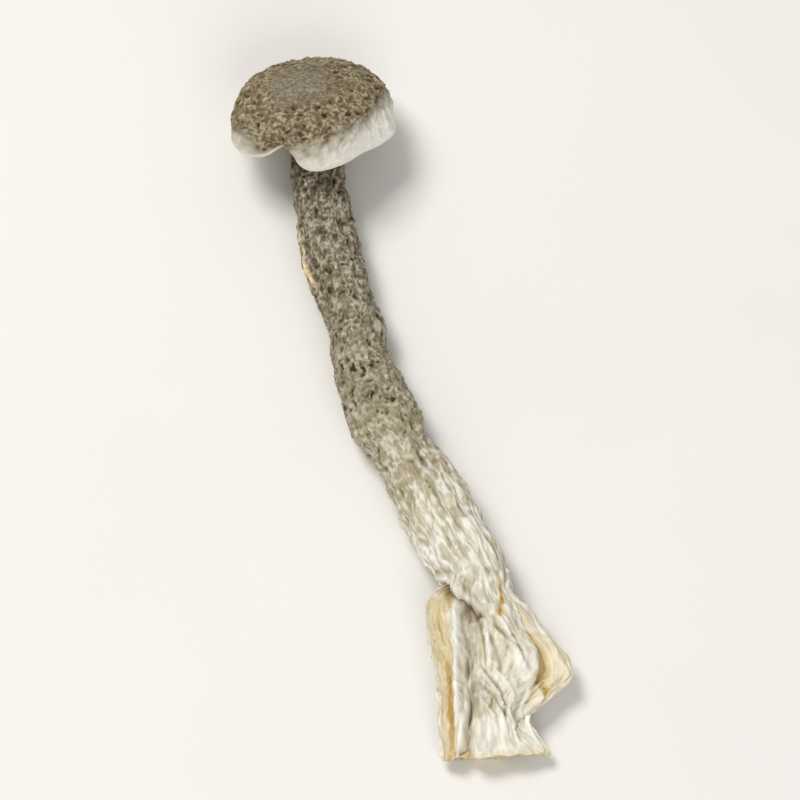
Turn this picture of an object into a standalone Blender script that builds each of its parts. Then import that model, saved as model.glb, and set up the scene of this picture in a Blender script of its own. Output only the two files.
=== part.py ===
"""A dried deer antler mushroom, lying on its side as it was cut and dried.

The mushroom is one closed solid. It is made of rings of points, one after the other: from the top
of the cap out over its curled margin, back in under the gills, down the bent stem to the flared and
folded base, and over the cut end. Every ring turns the same way: 0 degrees is the right side, 90
degrees the upper side, 180 degrees the left side and 270 degrees the side towards the ground.

The frame: the cap is towards +Y, the cut end towards -Y, and the ground is at Z = 0.
"""

import math

import bmesh
import bpy
import numpy as np
from mathutils import Vector, noise

MM = 0.001

# The cap: a dome on an axis that leans back from the stem
CAP_CENTRE = Vector((-12.6, 102.9, 8.4)) * MM
CAP_LEAN = math.radians(55.0)
CAP_RADIUS = 12.5 * MM
CAP_HEIGHT = 8.1 * MM
CAP_TUCK = 3.4 * MM
CAP_TURN = math.radians(114.0)
CAP_ROUNDNESS = 0.80

# Where the zones of the cap's top start and how wide their changes are, in shares of the way to the lip
SMOOTH_DISC = (0.12, 0.42)
SMOOTH_MARGIN = (0.68, 0.12)
RIM_FROM = (0.30, 0.50)
NOTCH_FROM = (0.62, 0.30)
DROOP_FROM = (0.25, 0.55)
BRIM_FROM = (0.66, 0.30)
BRIM_WAIST = (0.58, 0.14)
WAIST_DEPTH = 0.7
FLUTE_FROM = (0.60, 0.20)

# Where the rim swells out or draws in: angle and width in degrees, and height
RIM_WAVES = (
    (149.0, 20.0, 1.5 * MM),
    (93.0, 12.0, 0.8 * MM),
    (44.0, 22.0, -1.7 * MM),
    (2.0, 20.0, -0.9 * MM),
    (200.0, 26.0, 0.6 * MM),
    (240.0, 16.0, -0.8 * MM),
    (282.0, 18.0, 0.5 * MM),
    (318.0, 18.0, -0.9 * MM),
)

# Where two lobes of the margin meet in a notch, and how far the rim is raised there for each step inwards
RIM_NOTCHES = (
    (119.0, 12.5, -2.8 * MM),
)
NOTCH_LIFT = 0.35

# Where the margin turns out like a brim and not in: angle and width in degrees, and how far
RIM_FLARES = (
    (12.0, 22.0, 1.0 * MM),
    (226.0, 20.0, 0.8 * MM),
    (300.0, 16.0, 0.6 * MM),
)

# Where the rim droops: angle and width in degrees, and how far it drops
RIM_DROOPS = (
    (161.0, 27.0, 0.7 * MM),
    (118.0, 10.0, -0.9 * MM),
    (86.0, 22.0, 0.5 * MM),
    (340.0, 26.0, 0.8 * MM),
    (268.0, 34.0, 0.9 * MM),
    (16.0, 14.0, -0.8 * MM),
)

# The gills: how many, how deep, and their edge line from the lip to the stem (share of the way, height)
GILL_COUNT = 40
GILL_DEPTH = 1.7 * MM
GILL_LINE = ((0.0, 0.0), (0.14, 1.0), (0.35, 2.7), (0.6, 3.9), (0.85, 3.9), (1.0, 3.0))
GILL_FADE = ((0.0, 0.0), (0.12, 0.55), (0.3, 1.0), (0.75, 1.0), (0.92, 0.45), (1.0, 0.0))
NECK_RADIUS = 4.0 * MM

# Stations down the stem: distance from the cut end, middle line x and z, and the half-widths
# to the left, to the right, up and down, all in millimetres
STEM_STATIONS = (
    (103.5, -12.6, 9.7, 4.0, 4.0, 3.9, 3.9),
    (101.6, -12.6, 7.5, 3.8, 3.8, 3.7, 3.7),
    (99.2, -12.6, 5.9, 3.8, 3.8, 3.7, 3.7),
    (95.9, -12.5, 5.0, 3.9, 3.9, 3.7, 3.7),
    (91.0, -11.8, 4.7, 4.1, 4.0, 3.9, 3.8),
    (85.9, -11.0, 4.6, 4.3, 4.3, 4.0, 4.0),
    (78.7, -9.6, 4.6, 4.3, 4.4, 4.1, 4.0),
    (73.6, -7.9, 4.5, 3.9, 3.9, 3.9, 3.8),
    (69.9, -6.5, 4.4, 4.0, 4.1, 4.1, 3.9),
    (64.7, -5.9, 4.2, 4.2, 4.2, 4.3, 4.1),
    (58.1, -3.6, 4.4, 4.9, 5.0, 4.7, 4.5),
    (53.2, -1.7, 4.7, 5.3, 5.3, 4.9, 4.7),
    (49.6, 0.0, 5.0, 4.4, 4.4, 4.6, 4.6),
    (43.9, 3.2, 5.4, 5.0, 5.1, 4.9, 4.8),
    (36.9, 6.6, 5.4, 5.4, 5.6, 5.1, 5.1),
    (31.9, 9.4, 5.1, 5.3, 5.3, 4.8, 4.9),
    (28.4, 11.1, 4.9, 5.3, 5.1, 4.6, 4.7),
    (26.4, 11.7, 4.7, 7.4, 4.9, 4.5, 4.6),
    (24.4, 12.2, 4.6, 8.2, 4.9, 4.5, 4.6),
    (22.4, 12.6, 4.4, 8.5, 6.4, 4.5, 4.6),
    (19.6, 13.2, 4.3, 8.8, 7.8, 4.6, 4.6),
    (15.9, 13.4, 4.2, 8.3, 11.5, 4.4, 4.5),
    (12.6, 13.3, 4.1, 7.7, 12.2, 4.2, 4.4),
    (9.6, 13.2, 4.0, 7.2, 9.4, 4.1, 4.3),
    (6.4, 13.1, 3.8, 6.9, 6.3, 3.9, 4.0),
    (3.0, 13.2, 3.2, 6.8, 7.2, 3.2, 3.4),
    (0.0, 13.4, 2.2, 6.9, 9.0, 2.1, 2.4),
)

# Folds that run down the stem and base: where each starts and ends (distance from the cut end),
# its angle at the start and the end, its width in degrees, and its depth (a ridge is negative)
FOLDS = (
    (29.0, 21.0, 150.0, 97.0, 11.0, 1.4 * MM),
    (25.0, 0.5, 106.0, 122.0, 12.0, 2.4 * MM),
    (24.0, 2.0, 90.0, 104.0, 9.0, -0.8 * MM),
    (22.0, 4.0, 48.0, 40.0, 11.0, 1.2 * MM),
    (84.0, 74.0, 150.0, 158.0, 9.0, 0.8 * MM),
    (27.0, 1.0, 214.0, 232.0, 12.0, 1.5 * MM),
    (22.0, 1.0, 318.0, 300.0, 12.0, 1.3 * MM),
)

# The rings
AROUND_CAP = 2 * GILL_COUNT
AROUND_STEM = AROUND_CAP // 2
CAP_RINGS = 17
CAP_RING_THINNING = {1: 8, 2: 4, 3: 2, 4: 2, 5: 2}
GILL_RINGS = 9
STEM_STEP = 1.3 * MM

# The cut end's rings: their size, how far the shrunken end is hollow there, and one point in how many
END_RINGS = (
    (0.90, 0.25 * MM, 1),
    (0.66, 0.9 * MM, 1),
    (0.36, 1.3 * MM, 2),
    (0.14, 1.4 * MM, 4),
)

# The relief that drying left
CAP_WRINKLE = 0.42 * MM
CAP_WRINKLE_SIZE = 2.4 * MM
MARGIN_CALM = 0.75
MARGIN_FLUTE = 0.16 * MM
MARGIN_FLUTES = GILL_COUNT // 2
STEM_WRINKLE = 0.40 * MM
STEM_WRINKLE_SIZE = 2.5 * MM
STEM_WRINKLE_STRETCH = 0.55
STEM_WRINKLE_GIRTH = 5.0 * MM
STEM_WRINKLE_FROM = 6.0 * MM
STEM_WRINKLE_LEVEL = 0.2
BROAD_NET = 3.2
FINE_NET = 1.2
NET_LIMIT = 0.45
FINE_NET_SCALE = 1.9
FINE_NET_PLACE = Vector((7.3, 1.9, 4.4))
FOLD_FADE = 0.15

# The middle of the finished mushroom's length and width, which the origin is set under
MIDDLE_X = 0.1 * MM
MIDDLE_Y = 57.1 * MM

SKIN_COLOUR = (0.56, 0.51, 0.40, 1.0)
SKIN_ROUGHNESS = 0.78


def clear_scene():
    """Remove every object that the scene starts with."""
    for thing in list(bpy.data.objects):
        bpy.data.objects.remove(thing, do_unlink=True)


def dried_skin():
    """The matt, beige skin of the dried mushroom."""
    material = bpy.data.materials.new("dried_skin")
    material.use_nodes = True
    shader = material.node_tree.nodes["Principled BSDF"]
    shader.inputs["Base Color"].default_value = SKIN_COLOUR
    shader.inputs["Roughness"].default_value = SKIN_ROUGHNESS
    shader.inputs["Metallic"].default_value = 0.0
    return material


def swell(angle, centre, width):
    """A smooth bump of height 1 round an angle in degrees."""
    away = (angle - centre + 180.0) % 360.0 - 180.0
    return math.exp(-((away / width) ** 2))


def ease(value):
    """A smooth step from 0 to 1."""
    value = min(max(value, 0.0), 1.0)
    return value * value * (3.0 - 2.0 * value)


def smooth_line(keys, values, places):
    """Values along a smooth line through the keyed points, with the slopes of its neighbours."""
    keys, values, places = (np.asarray(item, dtype=float) for item in (keys, values, places))
    slopes = np.gradient(values, keys)
    cell = np.clip(np.searchsorted(keys, places) - 1, 0, len(keys) - 2)
    span = keys[cell + 1] - keys[cell]
    t = (places - keys[cell]) / span
    start = (2 * t**3 - 3 * t**2 + 1) * values[cell] + (t**3 - 2 * t**2 + t) * span * slopes[cell]
    end = (3 * t**2 - 2 * t**3) * values[cell + 1] + (t**3 - t**2) * span * slopes[cell + 1]
    return start + end


def net_relief(place):
    """Raised wrinkles that run together in a net: near 1 on a wrinkle, and down to -1 in a pit."""
    broad = noise.noise(place)
    fine = noise.noise(place * FINE_NET_SCALE + FINE_NET_PLACE)
    return 1.0 - BROAD_NET * min(abs(broad), NET_LIMIT) - FINE_NET * min(abs(fine), NET_LIMIT)


def cap_axes():
    """The cap's own directions: to the right, up the near side, and out of the top."""
    right = Vector((1.0, 0.0, 0.0))
    near = Vector((0.0, -math.sin(CAP_LEAN), math.cos(CAP_LEAN)))
    out = Vector((0.0, math.cos(CAP_LEAN), math.sin(CAP_LEAN)))
    return right, near, out


def zone(share, start_and_width):
    """How far a zone of the cap has set in, from 0 to 1."""
    start, width = start_and_width
    return ease((share - start) / width)


def waves(angle, table):
    """The sum of the bumps of a table at this angle."""
    return sum(height * swell(angle, centre, width) for centre, width, height in table)


def cap_radius(angle, share):
    """How far the cap's top stands from its axis, before it curls in at the margin."""
    brim = waves(angle, RIM_FLARES)
    centre, width = BRIM_WAIST
    waist = WAIST_DEPTH * math.exp(-(((share - centre) / width) ** 2))
    rim = waves(angle, RIM_WAVES) * zone(share, RIM_FROM)
    rim += waves(angle, RIM_NOTCHES) * zone(share, NOTCH_FROM)
    return CAP_RADIUS + rim + brim * (zone(share, BRIM_FROM) - waist)


def cap_place(angle, radius, height):
    """A point of the cap, from its angle, its distance from the axis and its height."""
    right, near, out = cap_axes()
    turn = math.radians(angle)
    return CAP_CENTRE + right * (radius * math.cos(turn)) + near * (radius * math.sin(turn)) + out * height


def cap_top_point(angle, share):
    """A point of the cap's top: share 0 is its middle and share 1 the lip of the curled margin."""
    turn = CAP_TURN * share
    radius = cap_radius(angle, share) * math.sin(turn) ** CAP_ROUNDNESS
    if turn < math.pi / 2:
        height = CAP_HEIGHT * math.cos(turn) ** CAP_ROUNDNESS
    else:
        height = CAP_TUCK * math.cos(turn)
    height -= waves(angle, RIM_DROOPS) * zone(share, DROOP_FROM)
    height -= waves(angle, RIM_NOTCHES) * zone(share, NOTCH_FROM) * NOTCH_LIFT
    place = cap_place(angle, radius, height)
    inside = cap_place(angle, radius * 0.4, height - 0.6 * CAP_HEIGHT)
    outward = (place - inside).normalized()
    coarse = zone(share, SMOOTH_DISC) * (1.0 - MARGIN_CALM * zone(share, SMOOTH_MARGIN))
    relief = CAP_WRINKLE * coarse * net_relief(place / CAP_WRINKLE_SIZE)
    flute = MARGIN_FLUTE * zone(share, FLUTE_FROM) * math.cos(math.radians(angle * MARGIN_FLUTES))
    return place + outward * (relief + flute)


def gill_point(angle, share, ridge):
    """A point under the cap: share 0 is the lip and share 1 the stem; a ridge is a gill's edge."""
    lip = cap_top_point(angle, 1.0) - CAP_CENTRE
    right, near, out = cap_axes()
    lip_radius = math.hypot(lip.dot(right), lip.dot(near))
    radius = lip_radius + (NECK_RADIUS - lip_radius) * share
    keys, rises = zip(*GILL_LINE)
    fade_keys, fades = zip(*GILL_FADE)
    height = lip.dot(out) * (1.0 - share) ** 2 + float(smooth_line(keys, rises, [share])[0]) * MM
    if not ridge:
        height += GILL_DEPTH * float(np.interp(share, fade_keys, fades))
    return cap_place(angle, radius, height)


def stem_lines():
    """The stations down the stem, by their distance along the middle line from the cap."""
    table = np.array(STEM_STATIONS) * MM
    middle = table[:, [1, 0, 2]]
    travel = np.concatenate(([0.0], np.cumsum(np.linalg.norm(np.diff(middle, axis=0), axis=1))))
    return travel, middle, table[:, 3:]


def fold_depth(from_end, angle):
    """How far the folds draw the skin in at this place."""
    depth = 0.0
    for start, end, first, last, width, deep in FOLDS:
        share = (start * MM - from_end) / ((start - end) * MM)
        fade_in = ease((share + FOLD_FADE) / (2.0 * FOLD_FADE))
        fade_out = ease((1.0 + FOLD_FADE - share) / FOLD_FADE)
        depth += deep * fade_in * fade_out * swell(angle, first + (last - first) * share, width)
    return depth


def stem_point(angle, travel, middle, tangent, widths):
    """A point of the stem or base, on the ring at this distance down its middle line."""
    left, right, up, down = widths
    across = Vector((0.0, 0.0, 1.0)).cross(tangent).normalized()
    above = tangent.cross(across)
    turn = math.radians(angle)
    side = math.cos(turn) * (right if math.cos(turn) > 0 else left)
    rise = math.sin(turn) * (up if math.sin(turn) > 0 else down)
    outward = (across * math.cos(turn) * up + above * math.sin(turn) * max(left, right)).normalized()
    girth = STEM_WRINKLE_GIRTH / STEM_WRINKLE_SIZE
    length = travel / STEM_WRINKLE_SIZE * STEM_WRINKLE_STRETCH
    net = net_relief(Vector((math.cos(turn) * girth, math.sin(turn) * girth, length)))
    relief = STEM_WRINKLE * (net - STEM_WRINKLE_LEVEL) * ease(travel / STEM_WRINKLE_FROM)
    return middle + across * side + above * rise + outward * (relief - fold_depth(middle.y, angle))


def ring_angles(count):
    """The angles of a ring's points, in degrees."""
    return [360.0 * step / count for step in range(count)]


def mushroom_rings():
    """All the rings, from the middle of the cap to the middle of the cut end."""
    rings = []
    for step in range(1, CAP_RINGS + 1):
        share = step / CAP_RINGS
        count = AROUND_CAP // CAP_RING_THINNING.get(step, 1)
        rings.append([cap_top_point(angle, share) for angle in ring_angles(count)])
    for step in range(1, GILL_RINGS):
        share = step / GILL_RINGS
        angles = enumerate(ring_angles(AROUND_CAP))
        rings.append([gill_point(angle, share, ridge=number % 2 == 0) for number, angle in angles])

    keys, middles, widths = stem_lines()
    places = np.linspace(0.0, keys[-1], round(keys[-1] / STEM_STEP) + 1)
    spine = np.stack([smooth_line(keys, middles[:, axis], places) for axis in range(3)], axis=1)
    sizes = np.stack([smooth_line(keys, widths[:, side], places) for side in range(4)], axis=1)
    tangents = np.gradient(spine, places, axis=0)
    angles = ring_angles(AROUND_STEM)
    for travel, middle, tangent, size in zip(places, spine, tangents, sizes):
        heading = Vector(tangent).normalized()
        rings.append([stem_point(angle, travel, Vector(middle), heading, size) for angle in angles])

    last, inward = rings[-1], -Vector(tangents[-1]).normalized()
    centre = sum(last, Vector()) / len(last)
    for shrink, hollow, skip in END_RINGS:
        rings.append([centre + (place - centre) * shrink + inward * hollow for place in last[::skip]])
    return rings


def stitch(mesh, first, second):
    """Join two rings with faces; where one has twice the points, each gap takes three triangles."""
    many, few = (first, second) if len(first) >= len(second) else (second, first)
    ratio = len(many) // len(few)
    for step in range(len(few)):
        after = (step + 1) % len(few)
        if ratio == 1:
            mesh.faces.new((many[step], many[after], few[after], few[step]))
            continue
        start, half, end = (many[(ratio * step + jump) % len(many)] for jump in range(3))
        mesh.faces.new((start, half, few[step]))
        mesh.faces.new((half, few[after], few[step]))
        mesh.faces.new((half, end, few[after]))


def close_pole(mesh, ring):
    """Close the middle of a ring with a fan of triangles."""
    centre = sum((corner.co for corner in ring), Vector()) / len(ring)
    pole = mesh.verts.new(centre)
    for step, corner in enumerate(ring):
        mesh.faces.new((corner, ring[(step + 1) % len(ring)], pole))


def on_the_ground(place):
    """Set a point in the finished frame, where what would sink into the ground lies flat on it."""
    return Vector((place.x - MIDDLE_X, place.y - MIDDLE_Y, max(place.z, 0.0)))


def build_mushroom():
    """Make the mushroom as one closed object."""
    mesh = bmesh.new()
    rings = [[mesh.verts.new(on_the_ground(place)) for place in ring] for ring in mushroom_rings()]
    close_pole(mesh, rings[0])
    for first, second in zip(rings, rings[1:]):
        stitch(mesh, first, second)
    close_pole(mesh, rings[-1])
    bmesh.ops.triangulate(mesh, faces=[face for face in mesh.faces if len(face.verts) > 3])
    bmesh.ops.recalc_face_normals(mesh, faces=mesh.faces)
    data = bpy.data.meshes.new("mushroom")
    mesh.to_mesh(data)
    mesh.free()
    data.materials.append(dried_skin())
    data.shade_smooth()
    mushroom = bpy.data.objects.new("mushroom", data)
    bpy.context.scene.collection.objects.link(mushroom)
    return mushroom


clear_scene()
build_mushroom()
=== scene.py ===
"""A dried deer antler mushroom, lying on a pale floor as it was cut and dried.

The mushroom is made of four pieces: the cap with its curled margin, the gills under it, the stem, and
the flared and folded base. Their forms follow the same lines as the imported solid, and the fine net of
wrinkles that drying left is laid over them with geometry nodes.
"""

import logging
import math
from dataclasses import asdict, dataclass, fields
from enum import Enum

import bpy
import numpy as np
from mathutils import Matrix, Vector, noise


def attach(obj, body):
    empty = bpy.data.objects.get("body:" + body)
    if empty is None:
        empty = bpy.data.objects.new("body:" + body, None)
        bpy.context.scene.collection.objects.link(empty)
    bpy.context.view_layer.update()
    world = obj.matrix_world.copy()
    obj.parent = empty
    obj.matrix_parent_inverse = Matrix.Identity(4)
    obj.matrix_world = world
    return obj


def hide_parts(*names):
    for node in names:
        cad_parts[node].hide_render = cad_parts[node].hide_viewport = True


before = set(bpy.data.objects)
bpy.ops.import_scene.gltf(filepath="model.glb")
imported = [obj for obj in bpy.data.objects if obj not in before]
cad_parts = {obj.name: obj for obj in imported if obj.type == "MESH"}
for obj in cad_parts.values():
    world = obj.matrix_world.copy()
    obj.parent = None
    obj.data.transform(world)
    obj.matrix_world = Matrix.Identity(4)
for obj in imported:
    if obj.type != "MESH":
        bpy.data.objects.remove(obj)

MM = 0.001
NODE = "mushroom"
BODY = "root"

LOG = logging.getLogger("mushroom")

Pair = tuple[float, float]
Triple = tuple[float, float, float]
Bumps = tuple[Triple, ...]
Line = tuple[Pair, ...]
Rows = tuple[tuple[float, ...], ...]
Span = tuple[float, float, float, float]
Tone = tuple[float, float, float, float]
Array = np.ndarray
Piece = bpy.types.Object
Finish = bpy.types.Material
Tree = bpy.types.NodeTree
Node = bpy.types.Node
Socket = bpy.types.NodeSocket
Sockets = bpy.types.NodeOutputs


def ease(value: Array | float) -> Array:
    """A smooth step from 0 to 1."""
    value = np.clip(value, 0.0, 1.0)
    return value * value * (3.0 - 2.0 * value)


def rise(value: Array | float, start: float, width: float) -> Array:
    """A smooth step from 0 to 1 that begins where the value is start and takes up the width."""
    return ease((value - start) / width)


def fall(value: Array | float, end: float, width: float) -> Array:
    """A smooth step from 1 to 0 that takes up the width and ends where the value is end."""
    return ease((end - value) / width)


def bump(value: Array | float, centre: float, width: float) -> Array:
    """A smooth bump of height 1 round a value, mostly faded at this distance."""
    return np.exp(-(((value - centre) / width) ** 2))


def waves(angle: Array, table: Bumps) -> Array:
    """The sum of bumps, each with an angle, a width and a height in millimetres, in metres at each angle."""
    bumps = (high * MM * bump((angle - at + 180.0) % 360.0, 180.0, width) for at, width, high in table)
    return sum(bumps)


def ripples(angle: Array, table: Bumps) -> Array:
    """The sum of sine waves, each with a height, a count round the ring and a shift, at each angle."""
    turn = np.radians(angle)
    return sum(height * np.sin(count * turn + shift) for height, count, shift in table)


def smooth_line(keys: Array, values: Array, places: Array) -> Array:
    """Values along a smooth line through keyed points, with the slopes of its neighbours.

    Args:
        keys: Where the points stand along the line.
        values: Their values.
        places: Where the line is read.

    Returns:
        The value at each place.
    """
    keys, values, places = (np.asarray(item, dtype=float) for item in (keys, values, places))
    slopes = np.gradient(values, keys)
    cell = np.clip(np.searchsorted(keys, places) - 1, 0, len(keys) - 2)
    span = keys[cell + 1] - keys[cell]
    t = (places - keys[cell]) / span
    start = (2 * t**3 - 3 * t**2 + 1) * values[cell] + (t**3 - 2 * t**2 + t) * span * slopes[cell]
    end = (3 * t**2 - 2 * t**3) * values[cell + 1] + (t**3 - t**2) * span * slopes[cell + 1]
    return start + end


def ring_angles(count: int) -> Array:
    """The angles of a ring's points, in degrees."""
    return np.arange(count) * 360.0 / count


def add_object(name: str, data: bpy.types.ID) -> Piece:
    """Put an object with this name and data in the scene.

    Args:
        name: The object's name.
        data: Its mesh, lamp or camera.

    Returns:
        The object.
    """
    made = bpy.data.objects.new(name, data)
    bpy.context.scene.collection.objects.link(made)
    return made


def add_mark(mesh: bpy.types.Mesh, name: str, values: Array) -> None:
    """Store a mark that the finishes and the node trees read by name.

    Args:
        mesh: The mesh that carries it.
        name: The mark's name.
        values: A number, or a row of three, for each point.
    """
    kind, key = ("FLOAT_VECTOR", "vector") if values.ndim == 2 else ("FLOAT", "value")
    layer = mesh.attributes.new(name, kind, "POINT")
    layer.data.foreach_set(key, values.astype(np.float32).ravel())


@dataclass(frozen=True)
class CoarseNet:
    """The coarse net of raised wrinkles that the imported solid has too."""

    broad: float = 3.2
    fine: float = 1.2
    limit: float = 0.45
    fine_scale: float = 1.9
    fine_place: Triple = (7.3, 1.9, 4.4)

    def heights(self, places: Array) -> Array:
        """Heights of the net, near 1 on a wrinkle and down to -1 in a pit.

        Args:
            places: Points in wrinkle sizes, with their three numbers last.

        Returns:
            One height for each point.
        """
        flat = places.reshape(-1, 3)
        shift = Vector(self.fine_place)
        heights = np.empty(len(flat))
        for row, place in enumerate(flat):
            point = Vector(place)
            broad = min(abs(noise.noise(point)), self.limit)
            fine = min(abs(noise.noise(point * self.fine_scale + shift)), self.limit)
            heights[row] = 1.0 - self.broad * broad - self.fine * fine
        return heights.reshape(places.shape[:-1])


@dataclass(frozen=True)
class Ground:
    """The level that the mushroom lies on, and where its middle stands over the origin."""

    middle: Pair = (0.1, 57.1)

    def settle(self, places: Array) -> Array:
        """Set points in the finished frame, flat on the ground where they would sink into it.

        Args:
            places: Points in the mushroom's own frame, in metres.

        Returns:
            The moved points.
        """
        moved = places.copy()
        moved[..., 0] -= self.middle[0] * MM
        moved[..., 1] -= self.middle[1] * MM
        moved[..., 2] = np.maximum(moved[..., 2], 0.0)
        return moved


class RingMesh:
    """A closed surface made of rings of points on the ground, one after the other."""

    def __init__(self, ground: Ground) -> None:
        """Start with no rings.

        Args:
            ground: The level that the rings are settled on.
        """
        self.ground = ground
        self.points: list[Array] = []
        self.marks: dict[str, list[Array]] = {}
        self.counts: list[int] = []

    def add(self, ring: Array, **marks: Array | float) -> None:
        """Settle a ring on the ground and add it.

        Args:
            ring: The ring's points, one row each.
            **marks: A number, or a row of three, for each point, which the finish reads by name.
        """
        self.points.append(self.ground.settle(ring))
        self.counts.append(len(ring))
        for name, values in marks.items():
            values = np.asarray(values, dtype=float)
            shape = ring.shape if values.ndim == 2 else (len(ring),)
            self.marks.setdefault(name, []).append(np.broadcast_to(values, shape))

    @staticmethod
    def gaps(first: int, many: int, second: int, few: int) -> list[tuple[int, ...]]:
        """Faces between a ring of many points and one with as many or half of them.

        Args:
            first: Index of the first ring's first point.
            many: How many points the first ring has.
            second: Index of the second ring's first point.
            few: How many points the second ring has.

        Returns:
            The faces, each a tuple of point indices.
        """
        faces = []
        flip = many < few
        if flip:
            first, many, second, few = second, few, first, many
        ratio = many // few
        for step in range(few):
            near, far = second + step, second + (step + 1) % few
            at = [first + (ratio * step + jump) % many for jump in range(ratio + 1)]
            if ratio == 1:
                made = [(at[0], at[1], far, near)]
            else:
                made = [(at[0], at[1], near), (at[1], far, near), (at[1], at[2], far)]
            faces += [tuple(reversed(face)) for face in made] if flip else made
        return faces

    def build(self, name: str) -> Piece:
        """Join the rings and close both ends.

        Args:
            name: The object's name.

        Returns:
            The object, with the rings' marks as attributes of its mesh.
        """
        counts = self.counts
        starts = [int(start) for start in np.concatenate(([0], np.cumsum(counts)))]
        faces = []
        for number in range(len(counts) - 1):
            faces += self.gaps(starts[number], counts[number], starts[number + 1], counts[number + 1])
        first, last, top, end = counts[0], counts[-1], starts[-1], starts[-1] + 1
        faces += [((step + 1) % first, step, top) for step in range(first)]
        faces += [(starts[-2] + step, starts[-2] + (step + 1) % last, end) for step in range(last)]
        mesh = bpy.data.meshes.new(name)
        poles = np.stack([self.points[0].mean(axis=0), self.points[-1].mean(axis=0)])
        mesh.from_pydata(np.concatenate(self.points + [poles]).tolist(), [], faces)
        for mark, rows in self.marks.items():
            ends = np.stack([rows[0].mean(axis=0), rows[-1].mean(axis=0)])
            add_mark(mesh, mark, np.concatenate(rows + [ends]))
        mesh.update()
        return add_object(name, mesh)


def tone(red: int, green: int, blue: int) -> Tone:
    """A colour from the 0 to 255 values that a screen shows."""
    linear = (((value / 255.0 + 0.055) / 1.055) ** 2.4 for value in (red, green, blue))
    return (*linear, 1.0)


@dataclass(frozen=True)
class Tint:
    """A colour that sets in as a value goes from low to high, up to some strength."""

    colour: Tone
    low: float = 0.0
    high: float = 1.0
    strength: float = 1.0


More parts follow.
